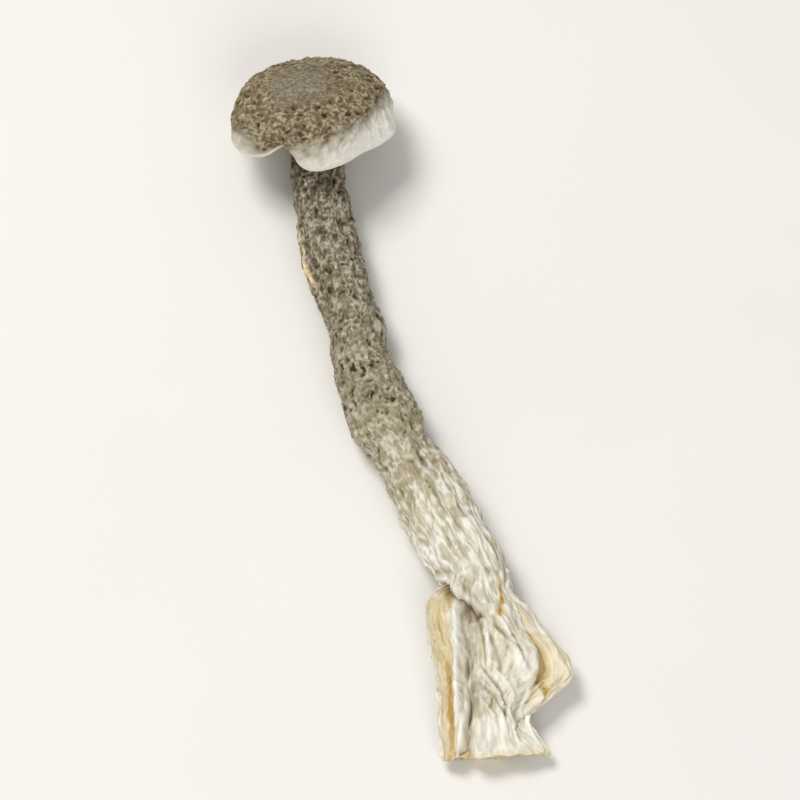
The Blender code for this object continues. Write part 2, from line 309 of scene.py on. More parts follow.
class Wiring:
    """Adds nodes to a node tree and joins them."""

    def __init__(self, tree: Tree) -> None:
        """Work on this tree."""
        self.tree = tree

    def add(self, kind: str, inputs: dict | None = None, **settings: object) -> Node:
        """Add a node.

        Args:
            kind: The node's type name.
            inputs: Values or sockets for its inputs, by name or number.
            **settings: The node's own settings.

        Returns:
            The node.
        """
        node = self.tree.nodes.new(kind)
        for key, value in settings.items():
            setattr(node, key, value)
        for key, value in (inputs or {}).items():
            if isinstance(value, Socket):
                self.tree.links.new(value, node.inputs[key])
            else:
                node.inputs[key].default_value = value
        return node

    def math(self, operation: str, *values: Socket | float) -> Socket:
        """The result of a sum on one, two or three values."""
        return self.add("ShaderNodeMath", dict(enumerate(values)), operation=operation).outputs[0]

    def times(self, value: Socket | float, other: Socket | float) -> Socket:
        """The product of two values."""
        return self.math("MULTIPLY", value, other)

    def line(self, value: Socket, slope: Socket | float, start: Socket | float) -> Socket:
        """A value times a slope, plus a start."""
        return self.math("MULTIPLY_ADD", value, slope, start)

    def vector(self, operation: str, *values: Socket | tuple) -> Socket:
        """The result of a sum on vectors."""
        return self.add("ShaderNodeVectorMath", dict(enumerate(values)), operation=operation).outputs[0]

    def scaled(self, vector: Socket, scale: Socket | float) -> Socket:
        """A vector made longer or shorter."""
        inputs = {0: vector, "Scale": scale}
        return self.add("ShaderNodeVectorMath", inputs, operation="SCALE").outputs[0]

    def parts(self, vector: Socket) -> Sockets:
        """The three numbers of a vector."""
        return self.add("ShaderNodeSeparateXYZ", {0: vector}).outputs

    def joined(self, *values: Socket | float) -> Socket:
        """A vector from its three numbers."""
        return self.add("ShaderNodeCombineXYZ", dict(enumerate(values))).outputs[0]

    def remap(self, value: Socket, low: float, high: float, start: float = 0.0, end: float = 1.0) -> Socket:
        """A smooth change from start to end while a value goes from low to high."""
        inputs = {"Value": value, 1: low, 2: high, 3: start, 4: end}
        return self.add("ShaderNodeMapRange", inputs, interpolation_type="SMOOTHSTEP").outputs[0]

    def noise(self, vector: Socket, scale: Socket | float, detail: float = 2.0, rough: float = 0.5) -> Socket:
        """A soft noise from 0 to 1."""
        inputs = {"Vector": vector, "Scale": scale, "Detail": detail, "Roughness": rough}
        return self.add("ShaderNodeTexNoise", inputs).outputs[0]

    def ridges(self, value: Socket, limit: float, slope: float, top: float) -> Socket:
        """Ridges of some height where a noise crosses its middle, which slope down up to a limit."""
        away = self.math("ABSOLUTE", self.line(value, 2.0, -1.0))
        return self.line(self.math("MINIMUM", away, limit), slope, top)

    def edges(self, vector: Socket, size: Socket) -> Socket:
        """The distance to the edges of cells of this size."""
        inputs = {"Vector": vector, "Scale": self.math("DIVIDE", 1.0, size)}
        return self.add("ShaderNodeTexVoronoi", inputs, feature="DISTANCE_TO_EDGE").outputs["Distance"]

    def effect(self, tree: Tree, **inputs: Socket | float) -> Socket:
        """The result of a group of effects."""
        return self.add("ShaderNodeGroup", inputs, node_tree=tree).outputs[0]

    def blend(self, share: Socket | float, first: Socket | Tone, second: Socket | Tone) -> Socket:
        """A colour between two others."""
        return self.add("ShaderNodeMix", {0: share, 6: first, 7: second}, data_type="RGBA").outputs[2]

    def tint(self, colour: Socket | Tone, tint: Tint, value: Socket) -> Socket:
        """A colour with a tint that sets in smoothly with a value."""
        share = self.remap(value, tint.low, tint.high, 0.0, tint.strength)
        return self.blend(share, colour, tint.colour)

    def wash(self, colour: Socket, tint: Tint, value: Socket) -> Socket:
        """A colour with a tint that grows evenly with a value."""
        return self.blend(self.times(value, tint.strength), colour, tint.colour)

    def shade(self, colour: Socket | Tone, share: Socket) -> Socket:
        """A colour multiplied by a grey.

        Args:
            colour: The colour.
            share: The grey's lightness, 1 for no change.

        Returns:
            The new colour.
        """
        grey = self.add("ShaderNodeCombineColor", {0: share, 1: share, 2: share}).outputs[0]
        inputs = {0: 1.0, 6: colour, 7: grey}
        return self.add("ShaderNodeMix", inputs, data_type="RGBA", blend_type="MULTIPLY").outputs[2]

    def vary(self, colour: Socket, value: Socket, start: float, end: float) -> Socket:
        """A colour's lightness, from start to end while a value goes from 0 to 1."""
        return self.shade(colour, self.remap(value, 0.0, 1.0, start, end))

    def mark(self, name: str, vector: bool = False) -> Socket:
        """A mark of the mesh, read in a material."""
        node = self.add("ShaderNodeAttribute", attribute_name=name)
        return node.outputs["Vector" if vector else "Fac"]

    def named(self, name: str, kind: str = "FLOAT") -> Socket:
        """A mark of the mesh, read in geometry nodes."""
        return self.add("GeometryNodeInputNamedAttribute", {"Name": name}, data_type=kind).outputs[0]

    def store(self, geometry: Socket, name: str, value: Socket) -> Socket:
        """Geometry with one more number on its points, from geometry nodes."""
        inputs = {"Geometry": geometry, "Name": name, "Value": value}
        return self.add("GeometryNodeStoreNamedAttribute", inputs, data_type="FLOAT").outputs[0]

    def moved(self, geometry: Socket, **inputs: Socket) -> Socket:
        """Geometry moved by an offset or to a position, from geometry nodes."""
        return self.add("GeometryNodeSetPosition", {"Geometry": geometry, **inputs}).outputs[0]

    def deliver(self, geometry: Socket, skin: Socket) -> None:
        """End a geometry node tree.

        Args:
            geometry: What the tree made.
            skin: Its material.
        """
        real = self.add("GeometryNodeRealizeInstances", {"Geometry": geometry}).outputs[0]
        dressed = self.add("GeometryNodeSetMaterial", {"Geometry": real, "Material": skin}).outputs[0]
        self.add("NodeGroupOutput", {"Geometry": dressed})

    def ramp(self, value: Socket, stops: tuple[tuple[float, Tone], ...]) -> Socket:
        """A colour from a row of stops.

        Args:
            value: What the ramp reads.
            stops: A place from 0 to 1 and a colour for each stop.

        Returns:
            The colour.
        """
        node = self.add("ShaderNodeValToRGB", {0: value})
        points = node.color_ramp.elements
        while len(points) < len(stops):
            points.new(0.5)
        for point, (place, colour) in zip(points, stops):
            point.position, point.color = place, colour
        return node.outputs[0]


def group_tree(name: str, kind: str, inputs: dict[str, str], output: str) -> tuple[Wiring, Sockets]:
    """A node group with its sockets.

    Args:
        name: The group's name.
        kind: The type of tree.
        inputs: The type of each input, by name.
        output: The type of its output: Geometry for geometry nodes, or else a value.

    Returns:
        The group's wiring, and the sockets that carry its inputs.
    """
    tree = bpy.data.node_groups.new(name, kind)
    for label, socket in inputs.items():
        tree.interface.new_socket(name=label, in_out="INPUT", socket_type=f"NodeSocket{socket}")
    label = output if output == "Geometry" else "Value"
    tree.interface.new_socket(name=label, in_out="OUTPUT", socket_type=f"NodeSocket{output}")
    wires = Wiring(tree)
    return wires, wires.add("NodeGroupInput").outputs


class SkinEffects:
    """The effects that more than one of the skins uses, each a node group that is built once."""

    def __init__(self) -> None:
        """Build the groups."""
        self.speckle = self.build_speckle()
        self.streak = self.build_streak()

    @staticmethod
    def build_speckle() -> Tree:
        """Make the effect of small dark pores and pale grains.

        Returns:
            The group, whose value lies round 0.5.
        """
        inputs = {"Vector": "Vector", "Size": "Float", "Strength": "Float"}
        wires, given = group_tree("skin_speckle", "ShaderNodeTree", inputs, "Float")
        scale = wires.math("DIVIDE", 1.0, given["Size"])
        soft = wires.line(wires.noise(given["Vector"], scale, 3.0, 0.62), 1.5, -0.25)
        cells = wires.add("ShaderNodeTexVoronoi", {"Vector": given["Vector"], "Scale": scale}).outputs
        both = wires.math("SUBTRACT", soft, wires.times(cells["Distance"], 0.35))
        strong = wires.line(wires.math("SUBTRACT", both, 0.33), given["Strength"], 0.5)
        kept = wires.math("MINIMUM", wires.math("MAXIMUM", strong, 0.0), 1.0)
        wires.add("NodeGroupOutput", {"Value": kept})
        return wires.tree

    @staticmethod
    def build_streak() -> Tree:
        """Make the effect of fine fibres along the third direction of a vector.

        Returns:
            The group, whose value goes from 0 to 1.
        """
        inputs = {"Vector": "Vector", "Size": "Float", "Stretch": "Float"}
        wires, given = group_tree("skin_streak", "ShaderNodeTree", inputs, "Float")
        parts = wires.parts(given["Vector"])
        place = wires.joined(parts[0], parts[1], wires.math("DIVIDE", parts[2], given["Stretch"]))
        soft = wires.noise(place, wires.math("DIVIDE", 1.0, given["Size"]), 3.0, 0.6)
        wires.add("NodeGroupOutput", {"Value": wires.remap(soft, 0.3, 0.72)})
        return wires.tree


@dataclass(frozen=True)
class DriedSkin:
    """What the finishes of the dried mushroom share."""

    name: str
    roughness: Pair = (0.88, 0.7)
    specular: float = 0.28
    bump: float = 0.5
    bump_depth: float = 0.12 * MM

    def start(self) -> tuple[Finish, Wiring, Node]:
        """Begin a finish.

        Returns:
            A new material, its wiring and its shader.
        """
        material = bpy.data.materials.new(self.name)
        material.use_nodes = True
        shader = material.node_tree.nodes["Principled BSDF"]
        shader.inputs["Specular IOR Level"].default_value = self.specular
        return material, Wiring(material.node_tree), shader

    def finish(self, wires: Wiring, shader: Node, colour: Socket, grit: Socket) -> None:
        """Join the colour, the roughness and the fine bump to the shader.

        Args:
            wires: The material's wiring.
            shader: Its shader.
            colour: Its colour.
            grit: A value from 0 to 1, which is smoother and higher where it is 1.
        """
        inputs = {"Strength": self.bump, "Distance": self.bump_depth, "Height": grit}
        raised = wires.add("ShaderNodeBump", inputs).outputs[0]
        rough = wires.remap(grit, 0.0, 1.0, *self.roughness)
        for name, socket in (("Base Color", colour), ("Roughness", rough), ("Normal", raised)):
            wires.tree.links.new(socket, shader.inputs[name])


@dataclass(frozen=True)
class CapSkin(DriedSkin):
    """The cap: a smooth grey-brown disc, a darker wrinkled flank and a pale, curled margin."""

    disc: Tone = tone(141, 130, 111)
    flank: Tone = tone(122, 106, 79)
    # Painted shade in the wrinkles' pits and painted highlight on their crests, both set by the relief.
    pit: Tint = Tint(tone(46, 33, 15), 0.1, -0.65, 0.92)
    ridge: Tint = Tint(tone(178, 166, 140), 0.2, 0.95, 0.75)
    fade: Tone = tone(164, 156, 138)
    margin: Tint = Tint(tone(240, 235, 224), 0.0, 0.24)
    margin_start: Pair = (-0.05, 0.07)
    lip: Tone = tone(240, 228, 192)
    lip_start: Pair = (0.90, 0.95)
    lip_pale: Span = (-0.08, 0.05, 0.35, 1.0)
    under: Tint = Tint(tone(190, 164, 104), 1.01, 1.12)

    def build(self, effects: SkinEffects) -> Finish:
        """Make the cap's material.

        Args:
            effects: The node groups that the skins share.

        Returns:
            The material, which reads the cap's marks.
        """
        material, wires, shader = self.start()
        grain, share, relief = wires.mark("grain", True), wires.mark("share"), wires.mark("relief")
        speckle = wires.effect(effects.speckle, Vector=grain, Size=0.55, Strength=1.9)
        broad = wires.effect(effects.speckle, Vector=grain, Size=1.7, Strength=1.2)
        spokes = wires.noise(wires.mark("spokes", True), 1.3, 3.0, 0.6)
        colour = wires.blend(wires.mark("patch"), self.flank, self.disc)
        colour = wires.vary(colour, broad, 0.84, 1.12)
        # Painted shade in the pits and painted highlight on the crests.
        colour = wires.tint(colour, self.pit, relief)
        colour = wires.tint(colour, self.ridge, relief)
        colour = wires.vary(colour, speckle, 0.62, 1.3)
        ragged = wires.math("ADD", wires.mark("margin"), wires.line(broad, 0.1, -0.05))
        ragged = wires.line(relief, 0.04, ragged)
        pale = wires.tint(self.fade, self.margin, ragged)
        pale = wires.shade(pale, wires.remap(spokes, 0.25, 0.75, 0.95, 1.03))
        pale = wires.vary(pale, speckle, 0.95, 1.03)
        colour = wires.blend(wires.remap(ragged, *self.margin_start), colour, pale)
        lip = wires.times(wires.remap(share, *self.lip_start), wires.remap(ragged, *self.lip_pale))
        colour = wires.blend(lip, colour, self.lip)
        self.finish(wires, shader, wires.tint(colour, self.under, share), speckle)
        return material


@dataclass(frozen=True)
class GillSkin(DriedSkin):
    """The gills: ochre, paler on their edges, and brown with painted shade where they are deep."""

    # Painted shade at the gills' roots, deep between the blades.
    deep: Tone = tone(92, 66, 30)
    side: Tint = Tint(tone(176, 145, 82), 0.0, 0.55)
    edge: Tint = Tint(tone(222, 200, 142), 0.6, 1.0)

    def build(self, effects: SkinEffects) -> Finish:
        """Make the gills' material.

        Args:
            effects: The node groups that the skins share.

        Returns:
            The material, which reads how near each point is to a gill's free edge.
        """
        material, wires, shader = self.start()
        edge = wires.mark("edge")
        place = wires.scaled(wires.add("ShaderNodeTexCoord").outputs["Object"], 1.0 / MM)
        speckle = wires.effect(effects.speckle, Vector=place, Size=0.5, Strength=1.1)
        colour = wires.tint(wires.tint(self.deep, self.side, edge), self.edge, edge)
        self.finish(wires, shader, wires.vary(colour, speckle, 0.78, 1.15), speckle)
        return material


@dataclass(frozen=True)
class StemSkin(DriedSkin):
    """The stem: grey-brown and pitted under the cap, ivory and papery at the base, with ochre folds.

    Its tones go from the cap at 0 to the cut end at 1, and the darkest ones next to the cap are painted
    shadow of the cap. A span is the low and the high value of what is read, and what the change starts and
    ends at.
    """

    # Tones along the stem; the darkest, at the cap end, are painted shadow of the cap.
    shades: tuple[tuple[float, Tone], ...] = (
        (0.0, tone(84, 74, 56)), (0.05, tone(102, 92, 73)), (0.15, tone(110, 100, 80)),
        (0.36, tone(131, 121, 97)), (0.52, tone(158, 147, 119)), (0.64, tone(189, 180, 153)),
        (0.74, tone(197, 190, 168)), (0.84, tone(219, 212, 190)),
    )
    low: Pair = (0.42, 0.7)
    # Painted shade in the relief's pits, strongest near the cap, and painted highlight on its crests.
    pit: Tone = tone(48, 33, 14)
    low_pit_shade: Tone = tone(130, 103, 52)
    pit_shade_relief: Pair = (0.15, -0.6)
    pit_shade_strength: Span = (0.4, 0.7, 0.95, 0.75)
    ridge: Tone = tone(180, 172, 154)
    low_crest_highlight: Tone = tone(241, 238, 228)
    crest_highlight_relief: Span = (0.25, 0.9, 0.0, 0.8)
    straw: Tint = Tint(tone(232, 214, 166), 0.0, 0.6, 0.85)
    ochre: Tint = Tint(tone(192, 152, 80), 0.42, 1.0)
    ochre_fibres: Span = (0.25, 0.75, 0.75, 1.1)
    # A brown wash: painted shade along grooves, behind the lip and under the skin's edge, and a brown tone on
    # the roll.
    brown: Tint = Tint(tone(134, 106, 56), strength=0.9)
    # Painted shade in the folds and creases: a brown wash and a darkening.
    fold: Tint = Tint(tone(130, 103, 52), strength=0.26)
    fold_shade: float = 0.76
    # Pale ridge lines: a paler tone, partly painted highlight on ridge crests and the lip's edge.
    light: Tint = Tint(tone(241, 238, 228), strength=0.85)
    cut: Tint = Tint(tone(222, 200, 148))
    contrast: Span = (0.35, 0.68, 0.8, 0.3)

    def build(self, effects: SkinEffects) -> Finish:
        """Make the material of the stem and the base.

        Args:
            effects: The node groups that the skins share.

        Returns:
            The material, which reads how far along a point is, its relief and its colour marks.
        """
        material, wires, shader = self.start()
        grain, relief, ochre = wires.mark("grain", True), wires.mark("relief"), wires.mark("ochre")
        speckle = wires.effect(effects.speckle, Vector=grain, Size=0.6, Strength=1.6)
        streak = wires.effect(effects.streak, Vector=grain, Size=0.6, Stretch=4.0)
        patches = wires.line(wires.noise(grain, 0.16, 2.0), 0.2, -0.1)
        drift = wires.math("ADD", wires.mark("along"), patches)
        colour = wires.ramp(drift, self.shades)
        low = wires.remap(drift, *self.low)
        # Painted shade in the pits and painted highlight on the crests.
        deep = wires.times(wires.remap(relief, *self.pit_shade_relief), wires.remap(drift, *self.pit_shade_strength))
        colour = wires.blend(deep, colour, wires.blend(low, self.pit, self.low_pit_shade))
        high = wires.remap(relief, *self.crest_highlight_relief)
        colour = wires.blend(high, colour, wires.blend(low, self.ridge, self.low_crest_highlight))
        colour = wires.tint(colour, self.straw, ochre)
        colour = wires.tint(colour, self.ochre, wires.times(ochre, wires.remap(streak, *self.ochre_fibres)))
        # The brown mark: mostly painted shade along grooves and under the skin's edge.
        colour = wires.wash(colour, self.brown, wires.mark("brown"))
        # Painted shade in the folds and creases, darker and browner with their depth.
        colour = wires.vary(colour, wires.mark("fold"), 1.0, self.fold_shade)
        for name, tint in (("fold", self.fold), ("light", self.light), ("cut", self.cut)):
            colour = wires.wash(colour, tint, wires.mark(name))
        centred = wires.math("SUBTRACT", speckle, 0.5)
        colour = wires.shade(colour, wires.line(centred, wires.remap(drift, *self.contrast), 1.0))
        self.finish(wires, shader, colour, wires.line(streak, 0.5, wires.times(speckle, 0.5)))
        return material


@dataclass(frozen=True)
class Texture:
    """The fine relief of a piece: its sizes and depths in millimetres, and where its noise starts."""

    cell_size: float
    warp: float
    net_depth: float
    wrinkle_size: float
    wrinkle_depth: float
    grit_depth: float
    seed: float
    crumple_size: float = 0.0
    crumple_depth: float = 0.0

    def inputs(self) -> dict[str, float]:
        """The inputs of the relief's tree, by name."""
        return {name.replace("_", " ").title(): value for name, value in asdict(self).items()}


class DriedRelief:
    """Geometry nodes that lay the fine net of wrinkles over a piece, along its normals."""

    def __init__(self) -> None:
        """Build the tree: sizes are in millimetres, and so is the grain that it reads."""
        sizes = {item.name.replace("_", " ").title(): "Float" for item in fields(Texture)}
        inputs = {"Geometry": "Geometry", **sizes, "Skin": "Material"}
        wires, given = group_tree("dried_relief", "GeometryNodeTree", inputs, "Geometry")
        self.tree = wires.tree
        grain = wires.named("grain", "FLOAT_VECTOR")
        place = wires.vector("ADD", grain, wires.joined(given["Seed"], 3.7, 9.1))
        inputs = {"Vector": place, "Scale": 0.9, "Detail": 1.0}
        bend = wires.add("ShaderNodeTexNoise", inputs).outputs["Color"]
        bend = wires.vector("SUBTRACT", bend, (0.5, 0.5, 0.5))
        bent = wires.vector("ADD", place, wires.scaled(bend, given["Warp"]))
        parts = wires.parts(bent)
        stretched = wires.joined(parts[0], parts[1], wires.times(parts[2], 0.28))
        net = wires.times(self.build_net(wires, place, bent, given["Cell Size"]), wires.named("net"))
        soft = wires.noise(stretched, wires.math("DIVIDE", 1.0, given["Wrinkle Size"]), 2.0, 0.45)
        wrinkle = wires.times(wires.ridges(soft, 0.5, -3.6, 0.8), wires.named("wrinkle"))
        folded = wires.math("MINIMUM", wires.edges(stretched, given["Crumple Size"]), 0.5)
        crumple = wires.times(wires.line(folded, -4.2, 1.0), wires.named("crumple"))
        grit = wires.line(wires.noise(place, 2.6, 2.0, 0.6), 2.0, -1.0)
        height = wires.times(net, given["Net Depth"])
        for layer, depth in ((wrinkle, "Wrinkle Depth"), (crumple, "Crumple Depth"), (grit, "Grit Depth")):
            height = wires.line(layer, given[depth], height)
        normal = wires.add("GeometryNodeInputNormal").outputs[0]
        raised = wires.moved(given["Geometry"], Offset=wires.scaled(normal, wires.times(height, MM)))
        placed = wires.parts(wires.add("GeometryNodeInputPosition").outputs[0])
        floor = wires.joined(placed[0], placed[1], wires.math("MAXIMUM", placed[2], 0.0))
        seen = wires.line(crumple, 0.5, wires.line(wrinkle, 0.5, net))
        wires.deliver(wires.store(wires.moved(raised, Position=floor), "relief", seen), given["Skin"])

    @staticmethod
    def build_net(wires: Wiring, place: Socket, bent: Socket, size: Socket) -> Socket:
        """Add the nodes of the net: raised cell edges and bowls between them, with wormlike ridges.

        Args:
            wires: The tree's wiring.
            place: Where a point is in the grain.
            bent: The same place, bent so that the cells come out uneven.
            size: The size of the cells.

        Returns:
            The net's height, about 1 on a ridge and below 0 in a pit.
        """
        cells = wires.edges(bent, size)
        crest, bowl = wires.remap(cells, 0.0, 0.26, 1.0, 0.0), wires.remap(cells, 0.10, 0.55, 0.0, 0.9)
        uneven = wires.remap(wires.noise(place, 0.45, 2.0), 0.3, 0.7, 0.45, 1.25)
        cells = wires.times(wires.math("SUBTRACT", crest, bowl), uneven)
        worms = wires.ridges(wires.noise(bent, wires.math("DIVIDE", 0.85, size), 2.0, 0.45), 0.4, -3.2, 0.55)
        return wires.line(worms, 0.85, wires.times(cells, 0.55))

    def lay(self, piece: Piece, texture: Texture, skin: Finish) -> Piece:
        """Lay the relief on a piece, and give it its finish."""
        return run_nodes(piece, self.tree, {**texture.inputs(), "Skin": skin})


def run_nodes(piece: Piece, tree: Tree, values: dict[str, object]) -> Piece:
    """Run a geometry node tree on a piece and keep the result as a plain mesh.

    Args:
        piece: The object that carries the starting mesh.
        tree: The tree to run.
        values: The tree's inputs, by name.

    Returns:
        The same object with its new mesh and no modifier.
    """
    modifier = piece.modifiers.new(tree.name, "NODES")
    modifier.node_group = tree
    for item in tree.interface.items_tree:
        if item.in_out == "INPUT" and item.name in values:
            modifier[item.identifier] = values[item.name]
    graph = bpy.context.evaluated_depsgraph_get()
    made = bpy.data.meshes.new_from_object(piece.evaluated_get(graph), depsgraph=graph)
    piece.modifiers.remove(modifier)
    old, piece.data = piece.data, made
    bpy.data.meshes.remove(old)
    made.name = piece.name
    made.shade_smooth()
    return piece


@dataclass
class Cap:
    """The cap: a dome that leans back from the stem, with a lobed and curled margin.

    Lengths are in millimetres and angles in degrees. A share is how far from the middle to the lip a
    place is, and a zone is the share where something begins and how much further it takes to set in.
    """

    centre: Triple = (-12.6, 102.9, 8.4)
    lean: float = 55.0
    radius: float = 12.5
    height: float = 8.1
    tuck: float = 3.4
    turn: float = 114.0
    roundness: float = 0.80
    neck: float = 4.0
    rim_waves: Bumps = (
        (149, 20, 1.5), (93, 12, 0.8), (44, 22, -1.7), (2, 20, -0.9), (200, 26, 0.6), (240, 16, -0.8),
        (282, 18, 0.5), (318, 18, -0.9),
    )
    rim_notches: Bumps = ((119, 12.5, -2.8),)
    notch_lift: float = 0.35
    rim_flares: Bumps = ((12, 22, 1), (226, 20, 0.8), (300, 16, 0.6))
    rim_droops: Bumps = (
        (161, 27, 0.7), (118, 10, -0.9), (86, 22, 0.5), (340, 26, 0.8), (268, 34, 0.9), (16, 14, -0.8),
    )
    smooth_disc: Pair = (0.12, 0.42)
    smooth_margin: Pair = (0.68, 0.12)
    rim_zone: Pair = (0.30, 0.50)
    notch_zone: Pair = (0.62, 0.30)
    droop_zone: Pair = (0.25, 0.55)
    brim_zone: Pair = (0.66, 0.30)
    brim_waist: Pair = (0.58, 0.14)
    waist_depth: float = 0.7
    flute_zone: Pair = (0.60, 0.20)
    flute: float = 0.11
    flutes: int = 20
    wrinkle: float = 0.42
    wrinkle_size: float = 2.4
    margin_calm: float = 0.75
    swelling_from: Pair = (0.4, 0.6)
    under_line: Line = ((0, 0), (0.14, 1), (0.35, 2.7), (0.6, 3.9), (0.85, 3.9), (1, 3))
    under_fade: Line = ((0, 0), (0.12, 0.55), (0.3, 1), (0.75, 1), (0.92, 0.45), (1, 0))
    under_zone: Pair = (0.97, 0.05)
    under_step: float = 1.2
    gill_depth: float = 1.7
    gills_from: float = 0.12
    patch: Triple = (-2.4, 2.1, 5.4)
    patch_edge: Pair = (0.5, 0.85)
    patch_ends: float = 0.6
    patch_calm: float = 0.85
    pale_from: Line = (
        (0, 0.5), (20, 0.47), (50, 0.5), (75, 0.57), (90, 0.61), (99, 0.64), (106, 0.69), (112, 0.8),
        (117, 0.97), (121, 1.03), (125, 0.94), (131, 0.8), (138, 0.71), (146, 0.66), (156, 0.66),
        (168, 0.73), (182, 0.8), (205, 0.86), (235, 0.74), (270, 0.68), (310, 0.62), (340, 0.54),
        (360, 0.5),
    )
    pale_zone: Pair = (-0.04, 0.1)
    pale_calm: float = 0.88
    fine_wrinkle: Pair = (0.05, 0.55)
    spoke_length: float = 3.0
    around: int = 384
    thinned: Line = ((0.02, 8), (0.045, 4), (0.1, 2))  # up to this share, and how many times fewer points
    top_rings: int = 128
    under_rings: int = 56
    texture: Texture = Texture(
        cell_size=1.2, warp=1.5, net_depth=0.19, wrinkle_size=1.2, wrinkle_depth=0.06, grit_depth=0.03,
        seed=4.0,
    )
    ground: Ground = Ground()
    net: CoarseNet = CoarseNet()

    def axes(self) -> tuple[Array, Array, Array]:
        """The cap's own directions.

        Returns:
            The ways to the right, up the near side, and out of the top.
        """
        lean = math.radians(self.lean)
        right = np.array((1.0, 0.0, 0.0))
        near = np.array((0.0, -math.sin(lean), math.cos(lean)))
        out = np.array((0.0, math.cos(lean), math.sin(lean)))
        return right, near, out

    def place(self, angle: Array, radius: Array, height: Array) -> Array:
        """Points of the cap.

        Args:
            angle: Their angles round the axis, in degrees.
            radius: Their distances from the axis, in metres.
            height: How far they are above the rim's level, in metres.

        Returns:
            The points, before they are settled on the ground.
        """
        right, near, out = self.axes()
        turn = np.radians(angle)
        sideways = np.multiply.outer(radius * np.cos(turn), right)
        upward = np.multiply.outer(radius * np.sin(turn), near)
        return np.array(self.centre) * MM + sideways + upward + np.multiply.outer(height, out)

    def top_ring(self, angle: Array, share: float) -> Array:
        """A ring of the cap's top.

        Args:
            angle: The ring's angles, in degrees.
            share: 0 at the cap's middle and 1 at the lip of the curled margin.

        Returns:
            The ring's points, before they are settled on the ground.
        """
        turn = math.radians(self.turn) * share
        notch = waves(angle, self.rim_notches) * rise(share, *self.notch_zone)
        rim = waves(angle, self.rim_waves) * rise(share, *self.rim_zone) + notch
        brim = rise(share, *self.brim_zone) - self.waist_depth * bump(share, *self.brim_waist)
        radius = self.radius * MM + rim + waves(angle, self.rim_flares) * brim
        radius = radius * math.sin(turn) ** self.roundness
        if turn < math.pi / 2:
            level = self.height * MM * math.cos(turn) ** self.roundness
        else:
            level = self.tuck * MM * math.cos(turn)
        droop = waves(angle, self.rim_droops) * rise(share, *self.droop_zone)
        level = level - droop - notch * self.notch_lift
        points = self.place(angle, radius, level)
        inner, lower = self.swelling_from
        outward = points - self.place(angle, radius * inner, level - lower * self.height * MM)
        outward /= np.linalg.norm(outward, axis=1, keepdims=True)
        coarse = rise(share, *self.smooth_disc) * (1.0 - self.margin_calm * rise(share, *self.smooth_margin))
        relief = self.wrinkle * MM * coarse * self.net.heights(points / (self.wrinkle_size * MM))
        flute = self.flute * MM * rise(share, *self.flute_zone) * np.cos(np.radians(angle * self.flutes))
        return points + outward * (relief + flute)[:, None]

    def under_ring(self, angle: Array, share: float, depth: float) -> Array:
        """A ring under the cap.

        Args:
            angle: The ring's angles, in degrees.
            share: 0 at the lip and 1 at the stem.
            depth: 0 on the gills' free edges and 1 on the flesh that they grow from.

        Returns:
            The ring's points, before they are settled on the ground.
        """
        lip = self.top_ring(angle, 1.0) - np.array(self.centre) * MM
        right, near, out = self.axes()
        lip_radius = np.hypot(lip @ right, lip @ near)
        radius = lip_radius + (self.neck * MM - lip_radius) * share
        level = (lip @ out) * (1.0 - share) ** 2 + smooth_line(*zip(*self.under_line), [share])[0] * MM
        level = level + depth * self.gill_depth * MM * np.interp(share, *zip(*self.under_fade))
        return self.place(angle, radius, level)

    def marks(self, angle: Array, points: Array, share: float) -> dict[str, Array | float]:
        """What the finish and the wrinkles read on a ring.

        Args:
            angle: The ring's angles, in degrees.
            points: The ring's points, before they are settled on the ground.
            share: How far from the middle to the lip the ring is, and past 1 under the cap.

        Returns:
            The marks: place, spokes, share, the pale margin, the smooth patch and the wrinkles.
        """
        right, near, _ = self.axes()
        inner = points / MM - np.array(self.centre)
        patch_right, patch_near, size = self.patch
        away = np.hypot(inner @ right - patch_right, inner @ near - patch_near)
        start, width = (size * edge for edge in self.patch_edge)
        patch = (1.0 - rise(away, start, width)) * (share < self.patch_ends)
        margin = share - smooth_line(*zip(*self.pale_from), angle)
        rough = (1.0 - self.patch_calm * patch) * (1.0 - self.pale_calm * rise(margin, *self.pale_zone))
        top = 1.0 - rise(share, *self.under_zone)
        turn = np.radians(angle)
        outline = (np.cos(turn) * self.radius, np.sin(turn) * self.radius, share * self.spoke_length)
        fixed, rougher = self.fine_wrinkle
        return {
            "grain": points / MM,
            "spokes": np.stack(np.broadcast_arrays(*outline), axis=1),
            "share": share,
            "margin": margin,
            "patch": patch,
            "net": rough * top,
            "wrinkle": (fixed + rougher * rough) * top,
            "crumple": 0.0,
        }

    def build(self, relief: DriedRelief, skin: Finish) -> Piece:
        """Make the cap, from its middle over the margin and back in to the neck.

        Args:
            relief: The tree that lays the fine wrinkles on.
            skin: The cap's finish.

        Returns:
            The finished piece.
        """
        surface = RingMesh(self.ground)
        for step in range(1, self.top_rings + 1):
            share = step / self.top_rings
            thinner = next((few for end, few in self.thinned if share < end), 1)
            angle = ring_angles(self.around // thinner)
            ring = self.top_ring(angle, share)
            surface.add(ring, **self.marks(angle, ring, share))
        for step in range(1, self.under_rings + 1):
            inward = (step / self.under_rings) ** self.under_step
            ring = self.under_ring(angle, inward, rise(inward, 0.0, self.gills_from))
            surface.add(ring, **self.marks(angle, ring, 1.0 + inward))
        return relief.lay(surface.build("cap"), self.texture, skin)


class GillKind(Enum):
    """How far in from the margin a gill runs, as a share of the way to the stem."""

    FULL = 1.0
    HALF = 0.58
    SHORT = 0.3


